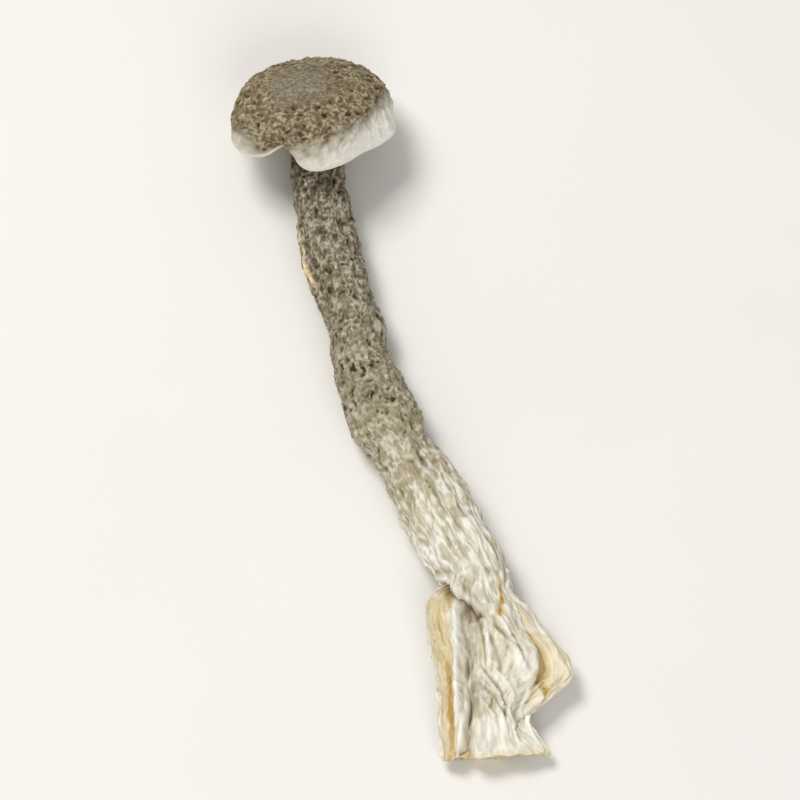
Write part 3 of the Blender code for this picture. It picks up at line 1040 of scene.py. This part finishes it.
@dataclass
class Gills:
    """The gills: thin blades under the cap, full ones with half and short ones between them."""

    cap: Cap
    full_count: int = 40
    order: tuple[GillKind, ...] = (GillKind.FULL, GillKind.SHORT, GillKind.HALF, GillKind.SHORT)
    steps: int = 36
    angle_spread: float = 0.22
    start: float = 0.035
    start_spread: float = 0.012
    shortest: float = 0.95
    rooted: float = 0.3
    least_fall: float = 0.25
    outer_steps: float = 5.0
    full_steps: float = 3.0
    inner_steps: float = 9.0
    thickness: float = 0.26
    waviness: float = 0.28
    seed: int = 7

    def guides(self) -> Piece:
        """Draw one line for each gill, on the flesh.

        Returns:
            The lines, with the way down to the gill's free edge and its side on every point.
        """
        draw = np.random.default_rng(self.seed)
        right, near, out = self.cap.axes()
        points, edges, falls, sides = [], [], [], []
        count = self.full_count * len(self.order)
        for number in range(count):
            kind = self.order[number % len(self.order)]
            angle = (number + draw.uniform(-self.angle_spread, self.angle_spread)) * 360.0 / count
            start = self.start + draw.uniform(0.0, self.start_spread)
            shares = np.linspace(start, kind.value * draw.uniform(self.shortest, 1.0), self.steps)
            fading = self.full_steps if kind is GillKind.FULL else self.inner_steps
            turn, angle = math.radians(angle), np.array([angle])
            first = len(points)
            for step, share in enumerate(shares):
                ends = ease(step / self.outer_steps) * ease((self.steps - 1 - step) / fading)
                root, edge = (self.cap.under_ring(angle, share, depth)[0] for depth in (1.0, 0.0))
                fall_share = self.least_fall + (1.0 - self.least_fall) * ends
                points.append(root + out * self.rooted * MM)
                falls.append((edge - root) * fall_share - out * self.rooted * MM)
                sides.append(near * math.cos(turn) - right * math.sin(turn))
            edges += [(first + step, first + step + 1) for step in range(self.steps - 1)]
        mesh = bpy.data.meshes.new("gills")
        mesh.from_pydata(self.cap.ground.settle(np.array(points)).tolist(), edges, [])
        add_mark(mesh, "fall", np.array(falls))
        add_mark(mesh, "side", np.array(sides))
        return add_object("gills", mesh)

    @staticmethod
    def blade_tree() -> Tree:
        """Build the geometry nodes that hang a thin, waving blade from each guide line.

        Returns:
            The tree.
        """
        inputs = {"Geometry": "Geometry", "Thickness": "Float", "Waviness": "Float", "Seed": "Float"}
        inputs["Skin"] = "Material"
        wires, given = group_tree("gill_blades", "GeometryNodeTree", inputs, "Geometry")
        side, fall_line = (wires.named(name, "FLOAT_VECTOR") for name in ("side", "fall"))
        place = wires.scaled(wires.add("GeometryNodeInputPosition").outputs[0], 1.0 / MM)
        inputs = {"Vector": place, "W": given["Seed"], "Scale": 0.4, "Detail": 1.0}
        sway = wires.add("ShaderNodeTexNoise", inputs, noise_dimensions="4D").outputs[0]
        sway = wires.times(wires.math("SUBTRACT", sway, 0.5), given["Waviness"])
        hang = wires.vector("ADD", fall_line, wires.scaled(side, wires.times(sway, 2.0 * MM)))
        inputs = {"Mesh": given["Geometry"], "Offset": hang, "Offset Scale": 1.0}
        sheet = wires.add("GeometryNodeExtrudeMesh", inputs, mode="EDGES").outputs
        low = wires.add("GeometryNodeSwitch", {0: sheet["Top"], 1: 0.0, 2: 1.0}, input_type="FLOAT")
        marked = wires.store(sheet["Mesh"], "edge", low.outputs[0])
        finer = wires.add("GeometryNodeSubdivideMesh", {"Mesh": marked, "Level": 1}).outputs[0]
        thin = wires.remap(wires.named("edge"), 0.0, 1.0, 1.0, 0.45)
        half = wires.times(wires.times(thin, given["Thickness"]), 0.5 * MM)
        back = wires.moved(finer, Offset=wires.scaled(side, wires.times(half, -1.0)))
        inputs = {"Mesh": back, "Offset": wires.scaled(side, wires.times(half, 2.0)), "Offset Scale": 1.0}
        inputs["Individual"] = False
        walls = wires.add("GeometryNodeExtrudeMesh", inputs, mode="FACES").outputs["Mesh"]
        flipped = wires.add("GeometryNodeFlipFaces", {"Mesh": back}).outputs[0]
        both = wires.add("GeometryNodeJoinGeometry")
        for part in (walls, flipped):
            wires.tree.links.new(part, both.inputs[0])
        inputs = {"Geometry": both.outputs[0], "Distance": 0.0005 * MM}
        wires.deliver(wires.add("GeometryNodeMergeByDistance", inputs).outputs[0], given["Skin"])
        return wires.tree

    def build(self, skin: Finish) -> Piece:
        """Make all the gills as one piece."""
        sizes = {"Thickness": self.thickness, "Waviness": self.waviness, "Seed": float(self.seed)}
        return run_nodes(self.guides(), self.blade_tree(), {**sizes, "Skin": skin})


@dataclass(frozen=True)
class Crease:
    """A crease or ridge of the stalk's skin, and what colours it: its brown is painted shade along a groove,
    and its pale is a paler tone, partly painted highlight on a ridge.

    It runs from start to end, in millimetres from the cut end, and from the first angle to the last.
    It fades out below and above that line within some degrees. A ridge has a negative depth.
    """

    start: float
    end: float
    first: float
    last: float
    below: float
    above: float
    depth: float
    brown: float = 0.0
    ochre: float = 0.0
    pale: float = 0.0

    def strength(self, from_end: Array, angle: Array, fade: float) -> Array:
        """How strongly the crease shows, from 0 to 1.

        Args:
            from_end: The rings' distances from the cut end, in metres.
            angle: The angles of their points, in degrees.
            fade: Over what share of its length it fades out at its ends.

        Returns:
            Its strength for each ring and angle.
        """
        share = (self.start * MM - from_end) / ((self.start - self.end) * MM)
        shown = ease((share + fade) / (2.0 * fade)) * ease((1.0 + fade - share) / fade)
        centre = self.first + (self.last - self.first) * share
        away = (angle[None, :] - centre[:, None] + 180.0) % 360.0 - 180.0
        return shown[:, None] * bump(away, 0.0, np.where(away > 0.0, self.above, self.below))


@dataclass
class StalkRings:
    """Rings down the stalk, one row of each array for each ring, with how far past the skin's edge it is."""

    points: Array
    outward: Array
    heading: Array
    past: Array
    marks: dict[str, Array]

    def swell(self, amount: Array) -> None:
        """Move the points outward by an amount in millimetres."""
        self.points = self.points + self.outward * (amount * MM)[..., None]

    def deepen(self, name: str, amount: Array) -> None:
        """Strengthen a mark, up to 1."""
        self.marks[name] = np.clip(self.marks[name] + amount, 0.0, 1.0)

    def add_to(self, surface: RingMesh) -> None:
        """Add the rings to a surface."""
        for number, ring in enumerate(self.points):
            surface.add(ring, cut=0.0, **{name: rows[number] for name, rows in self.marks.items()})


@dataclass(frozen=True)
class Stalk:
    """The form that the stem and the base share: their middle line, thickness and folds.

    A station is a place of the middle line: y, x and height, and how far the skin is from it to the
    left, to the right, upward and downward. A fold is start, end, first and last angle, width and depth.
    The columns of a crease are those of its class. Lengths are in millimetres and angles in degrees, and
    a zone is where something begins or ends, and how far it takes to set in or to fade.
    """

    stations: Rows = (
        (103.5, -12.6, 9.7, 4, 4, 3.9, 3.9), (101.6, -12.6, 7.5, 3.8, 3.8, 3.7, 3.7),
        (99.2, -12.6, 5.9, 3.8, 3.8, 3.7, 3.7), (95.9, -12.5, 5, 3.9, 3.9, 3.7, 3.7),
        (91, -11.8, 4.7, 4.1, 4, 3.9, 3.8), (85.9, -11, 4.6, 4.3, 4.3, 4, 4),
        (78.7, -9.6, 4.6, 4.3, 4.4, 4.1, 4), (73.6, -7.9, 4.5, 3.9, 3.9, 3.9, 3.8),
        (69.9, -6.5, 4.4, 4, 4.1, 4.1, 3.9), (64.7, -5.9, 4.2, 4.2, 4.2, 4.3, 4.1),
        (58.1, -3.6, 4.4, 4.9, 5, 4.7, 4.5), (53.2, -1.7, 4.7, 5.3, 5.3, 4.9, 4.7),
        (49.6, 0, 5, 4.4, 4.4, 4.6, 4.6), (43.9, 3.2, 5.4, 5, 5.1, 4.9, 4.8),
        (36.9, 6.6, 5.4, 5.4, 5.6, 5.1, 5.1), (31.9, 9.4, 5.1, 5.3, 5.3, 4.8, 4.9),
        (28.4, 11.1, 4.9, 5.3, 5.1, 4.6, 4.7), (26.4, 11.7, 4.7, 7.4, 4.9, 4.5, 4.6),
        (24.4, 12.2, 4.6, 8.2, 4.9, 4.5, 4.6), (22.4, 12.6, 4.4, 8.5, 6.4, 4.5, 4.6),
        (19.6, 13.2, 4.3, 8.8, 7.8, 4.6, 4.6), (15.9, 13.4, 4.2, 8.3, 11.5, 4.4, 4.5),
        (12.6, 13.3, 4.1, 7.7, 12.2, 4.2, 4.4), (9.6, 13.2, 4, 7.2, 9.4, 4.1, 4.3),
        (6.4, 13.1, 3.8, 6.9, 6.3, 3.9, 4), (3, 13.2, 3.2, 6.8, 7.2, 3.2, 3.4),
        (0, 13.4, 2.2, 6.9, 9, 2.1, 2.4),
    )
    folds: Rows = (
        (29, 21, 150, 97, 11, 1.4), (25, 0.5, 105, 120.5, 10.5, 2.3), (24, 2, 90, 104, 9, -0.8),
        (22, 4, 48, 40, 11, 1.2), (84, 74, 150, 158, 9, 0.8), (27, 1, 214, 232, 12, 1.5),
        (22, 1, 318, 300, 12, 1.3),
    )
    crease_rows: Rows = (
        (26, 6, 119, 132, 4.2, 4.2, -0.75, 0, 0, 1), (11.5, 0, 115, 134, 3, 3.2, -0.45, 0, 0, 0.9),
        (21.5, 5, 116, 132, 2.4, 2.4, 0.35, 0.4), (14, 4.6, 116, 119, 2.2, 2.2, 0.45, 1),
        (10.5, 5.4, 102, 104, 16, 12, 0.15, 0.45), (22.5, 12, 104, 108, 2.4, 2.4, -0.35, 0, 0, 0.2),
        (23, 13, 101, 93, 1.8, 1.8, 0.35, 0.75), (20, 13, 94, 88, 2, 2, -0.3, 0, 0, 0.2),
        (17.5, 12, 89, 81, 1.8, 1.8, 0.3, 0.65), (18.8, 15.6, 84, 66, 1.8, 2.8, 0.4, 0.8),
        (20.2, 13, 77, 65, 2.4, 2.4, -0.5, 0, 0, 0.9), (14, 5.5, 68, 30, 3.5, 2.5, -0.35, 0, 0, 0.5),
        (25.8, 20.2, 46, 76, 6.5, 5.5, 0.5, 0, 1), (13.2, 8, 107, 77, 2.6, 2.6, -0.5, 0, 0, 0.5),
        (12.6, 7.2, 101, 68, 2.8, 2.8, 0.45, 0.7), (10.6, 6.2, 106, 60, 2.6, 2.6, -0.5, 0, 0, 0.5),
        (9.8, 5.6, 100, 62, 2.6, 2.6, 0.4, 0.65), (8.6, 5.4, 110, 80, 2.6, 2.6, -0.4, 0, 0, 0.4),
        (12.8, 7.4, 92, 54, 2.4, 2.4, -0.4, 0, 0, 0.4), (4.8, -2, 84, 84, 60, 55, 0, 0, 0, 0.4),
        (6.8, 3.6, 6, 52, 2.6, 2.6, 0.3, 0.7), (6.4, 0, 14, 27, 3, 3, -0.45, 0, 0, 0.8),
        (5, 0, 100, 92, 3, 3, -0.25), (4.6, 0, 76, 70, 3, 3, 0.25), (4.2, 0, 56, 46, 3, 3, -0.3),
        (21, 16.5, 42, 52, 2, 6, -0.45), (21, 16.5, 37, 48, 4, 3, 0.22, 0, 0.6),
        (17, 11, 53, 53, 2, 6, -0.5, 0, 0, 0.3), (17, 11, 48.5, 47.5, 5.5, 3.5, 0.2, 0, 0.9),
        (11.2, 7.4, 50, 8, 3, 5, -0.4, 0, 0, 0.4), (11.6, 7, 44, 2, 6, 4.5, 0.15, 0, 0.6),
        (22, 18.6, 66, 42, 7, 7, -0.12, 0, 0, 0.6), (17, 9, 10, 12, 3, 3, 0.35),
        (14.5, 1.8, 142, 145, 10, 8, 0.25, 0, 1), (24, 16.5, 147, 142, 5, 5, 0.1, 0, 0.7),
        (27, 23.2, 137, 126, 6, 8, 0.1, 0, 0.72), (1.7, 0, 150, 128, 9, 9, 0, 0, 0.8),
        (23, 0, 164, 168, 2.5, 4, 0.3), (20, 1, 186, 180, 3, 3, -0.35), (26, 2, 346, 352, 3, 5, 0.4),
        (18, 0, 196, 204, 3, 4, 0.45), (86.5, 78, 164, 167, 4, 4.5, -0.25, 0, 0.6),
        (62, 34, 58, 98, 3, 7, -0.4), (56, 30, 120, 84, 6, 3, -0.4), (50, 27, 42, 54, 3, 6, -0.4),
        (58, 36, 142, 126, 4, 4, 0.35), (48, 28, 74, 64, 3, 5, -0.35), (40, 26, 104, 94, 4, 3, 0.35),
        (64, 44, 18, 30, 4, 4, 0.4), (60, 40, 170, 160, 4, 4, 0.4), (72, 50, 250, 262, 5, 5, 0.45),
        (55, 30, 302, 288, 5, 4, 0.45), (52, 30, 212, 222, 4, 5, 0.45), (96, 70, 340, 352, 5, 5, 0.35),
    )
    fold_fade: float = 0.15
    wrinkle: float = 0.40
    wrinkle_size: float = 2.5
    wrinkle_stretch: float = 0.55
    wrinkle_girth: float = 5.0
    wrinkle_from: float = 6.0
    wrinkle_level: float = 0.2
    skin_edge: Line = (
        (0, 26), (20, 25.6), (37, 25), (50, 24.4), (62, 23.1), (70, 21.8), (79, 20.8), (88, 20.6),
        (94, 21), (98, 21.9), (103, 23.1), (110, 24.3), (120, 25.4), (134, 27), (155, 28.3), (183, 29.3),
        (215, 29.2), (270, 28.3), (320, 27), (360, 26),
    )
    ragged: Bumps = ((0.16, 11, 1), (0.12, 23, 0), (0.08, 41, 2))
    sharp_from: Pair = (88.0, 10.0)
    sharp_to: Pair = (182.0, 20.0)
    ear: tuple[Pair, Pair] = ((21.0, 5.0), (5.0, 5.0))
    ear_pinch: float = 0.4
    base_from: Pair = (28.0, 3.0)
    roll: tuple[Pair, Pair] = ((128.0, 6.0), (176.0, 10.0))
    flap: tuple[Pair, Pair] = ((52.0, 5.0), (330.0, 8.0))
    hem: Pair = (1.5, 1.3)
    ochre_shares: Triple = (0.42, 0.32, 0.4)
    roll_brown: float = 0.24
    # How deep a fold gets its full painted shade, and how much the broad and the sharp folds count.
    full_shade_depth: float = 2.4
    fold_shade_shares: Pair = (0.9, 1.4)
    pale_calm: float = 0.85
    grain_stretch: Pair = (1.15, 2.4)
    stretch_zone: Pair = (0.42, 0.4)
    grain_steps: int = 2000
    net_fade: Triple = (0.62, 0.44, 0.3)
    wrinkle_rise: Triple = (0.35, 0.38, 0.22)
    crumple_zone: Pair = (0.44, 0.28)
    ground: Ground = Ground()
    net: CoarseNet = CoarseNet()

    def spine(self) -> tuple[Array, Array]:
        """Measure the middle line.

        Returns:
            The distance of each station down the line, and the table of the stations, both in metres.
        """
        table = np.array(self.stations) * MM
        steps = np.linalg.norm(np.diff(table[:, [1, 0, 2]], axis=0), axis=1)
        return np.concatenate(([0.0], np.cumsum(steps))), table

    def travel(self, from_end: float) -> float:
        """How far down the middle line a place is, from its distance from the cut end in millimetres."""
        keys, table = self.spine()
        return float(np.interp(-from_end * MM, -table[:, 0], keys))

    def creased(self, from_end: Array, angle: Array) -> dict[str, Array]:
        """How far the folds and the creases draw the skin in, and how they colour it.

        Args:
            from_end: The rings' distances from the cut end, in metres.
            angle: The angles of their points, in degrees.

        Returns:
            For each ring and angle, the depth in metres of the broad folds and of the sharp creases, and the
            strength of their brown, which is painted shade, their ochre, and their pale, partly painted
            highlight.
        """
        colours = ("brown", "ochre", "pale")
        made = {name: np.zeros((len(from_end), len(angle))) for name in ("broad", "sharp", *colours)}
        for *ends, width, depth in self.folds:
            fold = Crease(*ends, width, width, depth)
            made["broad"] += depth * MM * fold.strength(from_end, angle, self.fold_fade)
        for row in self.crease_rows:
            crease = Crease(*row)
            strength = crease.strength(from_end, angle, self.fold_fade)
            made["sharp"] += crease.depth * MM * strength
            for name in colours:
                made[name] = np.maximum(made[name], getattr(crease, name) * strength)
        return made

    def overlap(self, from_end: Array, angle: Array) -> Array:
        """How far each point is above the edge of the stem's skin on the base, in millimetres."""
        edge = smooth_line(*zip(*self.skin_edge), angle) + ripples(angle, self.ragged)
        return from_end[:, None] / MM - edge[None, :]

    def sharpness(self, around: int) -> Array:
        """How sharp the skin's edge is on a ring: 1 on the upper left and near 0 elsewhere."""
        angle = ring_angles(around)
        return (rise(angle, *self.sharp_from) * fall(angle, *self.sharp_to))[None, :]

    def grain_lengths(self, places: Array, total: float) -> Array:
        """How far along the skin's grain some rings are, with the grain drawn out towards the base.

        Args:
            places: Distances down the middle line, in metres.
            total: The middle line's length, in metres.

        Returns:
            One length for each ring, in millimetres.
        """
        fine_places = np.linspace(0.0, total, self.grain_steps)
        least, more = self.grain_stretch
        stretch = least + more * rise(fine_places / total, *self.stretch_zone)
        lengths = np.concatenate(([0.0], np.cumsum(np.diff(fine_places) / stretch[1:]))) / MM
        return np.interp(places, fine_places, lengths)[:, None]

    def rings(self, places: Array, around: int) -> StalkRings:
        """The rings at some places down the middle line, with what the finish reads on them.

        Args:
            places: Distances down the middle line, in metres.
            around: How many points each ring has.

        Returns:
            The rings.
        """
        keys, table = self.spine()
        spine = np.stack([smooth_line(keys, table[:, column], places) for column in (1, 0, 2)], axis=1)
        sizes = np.stack([smooth_line(keys, table[:, 3 + side], places) for side in range(4)], axis=1)
        heading = np.gradient(spine, places, axis=0)
        heading /= np.linalg.norm(heading, axis=1, keepdims=True)
        across = np.cross((0.0, 0.0, 1.0), heading)
        across /= np.linalg.norm(across, axis=1, keepdims=True)
        above = np.cross(heading, across)

        angle = ring_angles(around)
        cosine, sine = np.cos(np.radians(angle))[None, :], np.sin(np.radians(angle))[None, :]
        left, right, up, down = (sizes[:, side, None] for side in range(4))
        wide = np.maximum(left, right)
        from_end = spine[:, 1]
        ear = (fall(from_end / MM, *self.ear[0]) * rise(from_end / MM, *self.ear[1]))[:, None]
        side = cosine * np.where(cosine > 0, right, left)
        pinch = 1.0 - self.ear_pinch * ear * np.maximum(cosine, 0.0) ** 2
        lift = sine * np.where(sine > 0, up, down) * pinch
        outward = across[:, None] * (cosine * up)[..., None] + above[:, None] * (sine * wide)[..., None]
        outward /= np.linalg.norm(outward, axis=2, keepdims=True)
        girth = self.wrinkle_girth / self.wrinkle_size
        length = places[:, None] / (self.wrinkle_size * MM) * self.wrinkle_stretch
        flat = np.stack(np.broadcast_arrays(cosine * girth, sine * girth, length), axis=-1)
        coarse = self.wrinkle * MM * (self.net.heights(flat) - self.wrinkle_level)
        coarse *= ease(places / (self.wrinkle_from * MM))[:, None]
        folds = self.creased(from_end, angle)
        points = spine[:, None] + across[:, None] * side[..., None] + above[:, None] * lift[..., None]
        points = points + outward * (coarse - folds["broad"] - folds["sharp"])[..., None]

        size = np.sqrt(wide * up) / MM
        grain = (cosine * size, sine * size, self.grain_lengths(places, keys[-1]))
        marks = {"grain": np.stack(np.broadcast_arrays(*grain), axis=-1)}
        marks.update(self.colours(from_end / MM, angle, ear, folds))
        along = places[:, None] / keys[-1]
        net_loss, *net_zone = self.net_fade
        least, *wrinkle_zone = self.wrinkle_rise
        lengthwise = {
            "along": along,
            "net": 1.0 - net_loss * rise(along, *net_zone),
            "wrinkle": least + (1.0 - least) * rise(along, *wrinkle_zone),
            "crumple": rise(along, *self.crumple_zone),
        }
        marks.update({name: np.repeat(column, around, axis=1) for name, column in lengthwise.items()})
        return StalkRings(points, outward, heading, self.overlap(from_end, angle), marks)

    def colours(self, level: Array, angle: Array, ear: Array, folds: dict) -> dict[str, Array]:
        """The marks that paint shade into the folds, and colour the roll's core, the ear's flap and the cut's
        hem.

        Args:
            level: The rings' distances from the cut end, in millimetres.
            angle: The angles of their points, in degrees.
            ear: How much each ring belongs to the ear.
            folds: What the folds and the creases do.

        Returns:
            The marks, by name.
        """
        base = fall(level, *self.base_from)[:, None]
        roll = (rise(angle, *self.roll[0]) * fall(angle, *self.roll[1]))[None, :]
        flap = fall(np.abs(angle), *self.flap[0]) + rise(angle, *self.flap[1])
        roll_share, flap_share, hem_share = self.ochre_shares
        ochre = np.maximum(folds["ochre"], roll_share * roll * base) + flap_share * flap * ear
        broad, sharp = self.fold_shade_shares
        pressed = broad * folds["broad"] + sharp * np.maximum(folds["sharp"], 0.0)
        shaded = np.clip(pressed / (self.full_shade_depth * MM), 0.0, 1.0)
        return {
            # Painted shade in the folds, growing with their depth and lessened on pale ridges.
            "fold": shaded * (1.0 - self.pale_calm * folds["pale"]),
            "ochre": np.clip(ochre + hem_share * fall(level, *self.hem)[:, None], 0.0, 1.0),
            # Painted shade along the grooves, and a brown tone on the roll.
            "brown": np.maximum(folds["brown"], self.roll_brown * roll * base),
            # A paler tone, partly painted highlight on the ridges.
            "light": folds["pale"],
        }


@dataclass
class Stem:
    """The stem: bent and wrinkled, from inside the cap to the ragged edge of its skin on the base."""

    stalk: Stalk
    around: int = 224
    ring_count: int = 430
    ends_at: float = 18.5
    root: float = 1.6
    lip: float = 0.34
    lip_shares: Pair = (0.1, 0.9)
    lip_line: Pair = (0.8, 0.9)
    sunk: float = 1.4
    sunk_from: float = 0.15
    sunk_widths: Pair = (0.6, 1.5)
    edge_line: Pair = (0.6, 0.6)
    edge_light: float = 0.9
    crease: float = 0.22
    crease_line: Pair = (2.1, 0.6)
    crease_shadow: float = 0.45
    texture: Texture = Texture(
        cell_size=1.15, warp=1.9, net_depth=0.2, wrinkle_size=1.1, wrinkle_depth=0.13, grit_depth=0.035,
        seed=11.0, crumple_size=1.1, crumple_depth=0.17,
    )

    def build(self, relief: DriedRelief, skin: Finish) -> Piece:
        """Make the stem.

        Args:
            relief: The tree that lays the fine wrinkles on.
            skin: The stem's finish.

        Returns:
            The finished piece.
        """
        places = np.linspace(0.0, self.stalk.travel(self.ends_at), self.ring_count)
        rings = self.stalk.rings(places, self.around)
        sharp, past = self.stalk.sharpness(self.around), rings.past
        (least, more), (narrow, wider) = self.lip_shares, self.sunk_widths
        lift = self.lip * (least + more * sharp) * bump(past, *self.lip_line)
        rings.swell(lift - self.sunk * fall(past, self.sunk_from, narrow + wider * (1.0 - sharp)))
        # A crease behind the rolled lip, with painted shadow in brown along it.
        behind = bump(past, *self.crease_line) * sharp
        rings.swell(-behind * self.crease)
        # Painted highlight along the rolled edge of the skin.
        rings.deepen("light", self.edge_light * sharp * bump(past, *self.edge_line))
        rings.deepen("brown", self.crease_shadow * behind)
        surface = RingMesh(self.stalk.ground)
        marks = {name: rows[0] for name, rows in rings.marks.items()}
        marks.update(cut=0.0, net=0.0, wrinkle=0.0)
        surface.add(rings.points[0] - rings.heading[0] * self.root * MM, **marks)
        rings.add_to(surface)
        return relief.lay(surface.build("stem"), self.texture, skin)


@dataclass
class Base:
    """The base: flared, with a rolled left side, a hollow beside it, a broad panel and a right ear."""

    stalk: Stalk
    around: int = 320
    ring_count: int = 290
    starts_at: float = 33.5
    sunk: float = 0.95
    sunk_widths: Pair = (1.0, 2.0)
    groove: float = 0.6
    groove_line: Pair = (-0.3, 0.75)
    ragged: float = 0.2
    ragged_waves: Bumps = ((1, 7, 0.6), (0.6, 13, 0))
    ragged_height: float = 2.5
    shade_reach: float = 1.05
    shade_fold: float = 0.9
    shade_brown: float = 1.1
    end_rings: Line = (
        (0.97, 0.05), (0.90, 0.25), (0.78, 0.6), (0.66, 0.9), (0.5, 1.15), (0.36, 1.3), (0.14, 1.4),
    )
    # Painted shade in the hollow of the cut end, deepest in its middle.
    cut_hollow_shade: float = 0.5
    cut_marks: tuple[tuple[str, float], ...] = (
        ("cut", 0.8), ("along", 1.0), ("ochre", 0.3), ("light", 0.0), ("brown", 0.0), ("net", 0.25),
        ("wrinkle", 0.25), ("crumple", 0.1),
    )
    texture: Texture = Texture(
        cell_size=1.0, warp=1.5, net_depth=0.1, wrinkle_size=0.85, wrinkle_depth=0.11, grit_depth=0.03,
        seed=11.0, crumple_size=0.9, crumple_depth=0.11,
    )

    def build(self, relief: DriedRelief, skin: Finish) -> Piece:
        """Make the base, from inside the stem to the middle of the cut end.

        Args:
            relief: The tree that lays the fine wrinkles on.
            skin: The stem's finish, which the base shares.

        Returns:
            The finished piece.
        """
        start, end = self.stalk.travel(self.starts_at), self.stalk.travel(0.0)
        places = np.linspace(start, end, self.ring_count)
        rings = self.stalk.rings(places, self.around)
        sharp, past = self.stalk.sharpness(self.around), rings.past
        narrow, wider = self.sunk_widths
        deep = self.sunk * rise(past, 0.0, narrow + wider * (1.0 - sharp))
        rings.swell(-(deep + self.groove * sharp * bump(past, *self.groove_line)))
        uneven = ripples(ring_angles(self.around), self.ragged_waves)
        near_end = ease(1.0 - (end - places) / (self.ragged_height * MM))
        slide = np.abs(near_end[:, None] * uneven[None, :] * self.ragged * MM)
        rings.points = rings.points - rings.heading[:, None] * slide[..., None]
        # Painted shadow under the edge of the stem's skin, dark and brown on the upper left.
        under = bump(np.maximum(-past, 0.0), 0.0, self.shade_reach) * sharp
        rings.deepen("fold", self.shade_fold * under)
        rings.deepen("brown", self.shade_brown * under)
        rings.marks["light"] = rings.marks["light"] * (1.0 - under)
        surface = RingMesh(self.stalk.ground)
        rings.add_to(surface)
        last, inward = rings.points[-1], -rings.heading[-1]
        centre = last.mean(axis=0)
        for share, hollow in self.end_rings:
            ring = centre + (last - centre) * share + inward * hollow * MM
            grain, fold = rings.marks["grain"][-1] * share, self.cut_hollow_shade * (1.0 - share)
            surface.add(ring, grain=grain, fold=fold, **dict(self.cut_marks))
        return relief.lay(surface.build("base"), self.texture, skin)


@dataclass(frozen=True)
class FloorSkin:
    """The floor: pale, matt and faintly uneven."""

    name: str = "pale_floor"
    colour: Tone = tone(236, 234, 230)
    roughness: float = 0.9
    patches: float = 18.0
    unevenness: Span = (0.3, 0.7, 0.985, 1.0)

    def build(self) -> Finish:
        """Make the floor's material.

        Returns:
            The material.
        """
        material = bpy.data.materials.new(self.name)
        material.use_nodes = True
        wires = Wiring(material.node_tree)
        inputs = material.node_tree.nodes["Principled BSDF"].inputs
        place = wires.add("ShaderNodeTexCoord").outputs["Object"]
        faint = wires.remap(wires.noise(place, self.patches, 3.0), *self.unevenness)
        wires.tree.links.new(wires.shade(self.colour, faint), inputs["Base Color"])
        inputs["Roughness"].default_value = self.roughness
        return material


@dataclass(frozen=True)
class Lamp:
    """A soft square lamp that faces the mushroom."""

    name: str
    place: Triple
    size: float
    power: float
    colour: Triple

    def build(self) -> None:
        """Make the lamp."""
        data = bpy.data.lights.new(self.name, "AREA")
        data.shape, data.size, data.energy, data.color = "SQUARE", self.size, self.power, self.colour
        lamp = add_object(self.name, data)
        lamp.location = self.place
        lamp.rotation_euler = (-Vector(self.place)).to_track_quat("-Z", "Y").to_euler()


@dataclass
class Studio:
    """The pale floor, the world's even light, the lamps and the camera."""

    elevation: float = 65.0
    lens: float = 400.0
    sensor: float = 36.0
    clip: Pair = (0.01, 20.0)
    fill_share: float = 0.88
    object_height: float = 0.1065
    look_at: Triple = (0.0, 0.0, 0.006)
    floor_size: float = 3.0
    floor_level: float = -0.02 * MM
    floor_skin: FloorSkin = FloorSkin()
    world_colour: Tone = (1.0, 0.99, 0.97, 1.0)
    world_strength: float = 0.36
    lamps: tuple[Lamp, ...] = (
        Lamp("key_light", (-0.28, 0.20, 0.68), 0.30, 3.7, (1.0, 0.985, 0.96)),
        Lamp("fill_light", (0.15, -0.60, 0.42), 0.5, 2.3, (0.97, 0.985, 1.0)),
    )

    def floor(self) -> None:
        """Make a wide, level floor."""
        half, level = self.floor_size / 2, self.floor_level
        mesh = bpy.data.meshes.new("floor")
        corners = [(-half, -half, level), (half, -half, level), (half, half, level), (-half, half, level)]
        mesh.from_pydata(corners, [], [(0, 1, 2, 3)])
        mesh.materials.append(self.floor_skin.build())
        add_object("floor", mesh)

    def light(self) -> None:
        """Make the world's even light, a key light beyond the cap and a weaker one on the near side."""
        world = bpy.data.worlds.new("studio")
        world.use_nodes = True
        inputs = world.node_tree.nodes["Background"].inputs
        inputs["Color"].default_value = self.world_colour
        inputs["Strength"].default_value = self.world_strength
        bpy.context.scene.world = world
        for lamp in self.lamps:
            lamp.build()

    def camera(self) -> None:
        """Make the camera, which looks down as steeply as the mushroom was photographed."""
        data = bpy.data.cameras.new("camera")
        data.lens, data.sensor_width = self.lens, self.sensor
        data.clip_start, data.clip_end = self.clip
        camera = add_object("camera", data)
        tilt = math.radians(self.elevation)
        half_view = math.atan(data.sensor_width / 2 / data.lens)
        distance = self.object_height / self.fill_share / 2 / math.tan(half_view)
        back = Vector((0.0, -math.cos(tilt), math.sin(tilt)))
        camera.location = Vector(self.look_at) + back * distance
        camera.rotation_euler = (-back).to_track_quat("-Z", "Y").to_euler()
        bpy.context.scene.camera = camera

    def build(self) -> None:
        """Make the floor, the lights and the camera."""
        self.floor()
        self.light()
        self.camera()
        bpy.context.scene.view_settings.view_transform = "Standard"


def hand_over(piece: Piece) -> None:
    """Say what a finished piece stands for, and report it.

    Args:
        piece: The piece, with its finish on.
    """
    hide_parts(NODE)
    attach(piece, BODY)
    LOG.info("%s: %d faces", piece.name, len(piece.data.polygons))


def main() -> None:
    """Build the mushroom's pieces and the studio."""
    logging.basicConfig(level=logging.INFO, format="%(name)s: %(message)s")
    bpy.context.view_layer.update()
    effects = SkinEffects()
    relief = DriedRelief()
    cap = Cap()
    hand_over(cap.build(relief, CapSkin("cap_skin").build(effects)))
    hand_over(Gills(cap).build(GillSkin("gill_skin").build(effects)))
    stalk, skin = Stalk(), StemSkin("stem_skin").build(effects)
    hand_over(Stem(stalk).build(relief, skin))
    hand_over(Base(stalk).build(relief, skin))
    Studio().build()


if __name__ == "__main__":
    main()
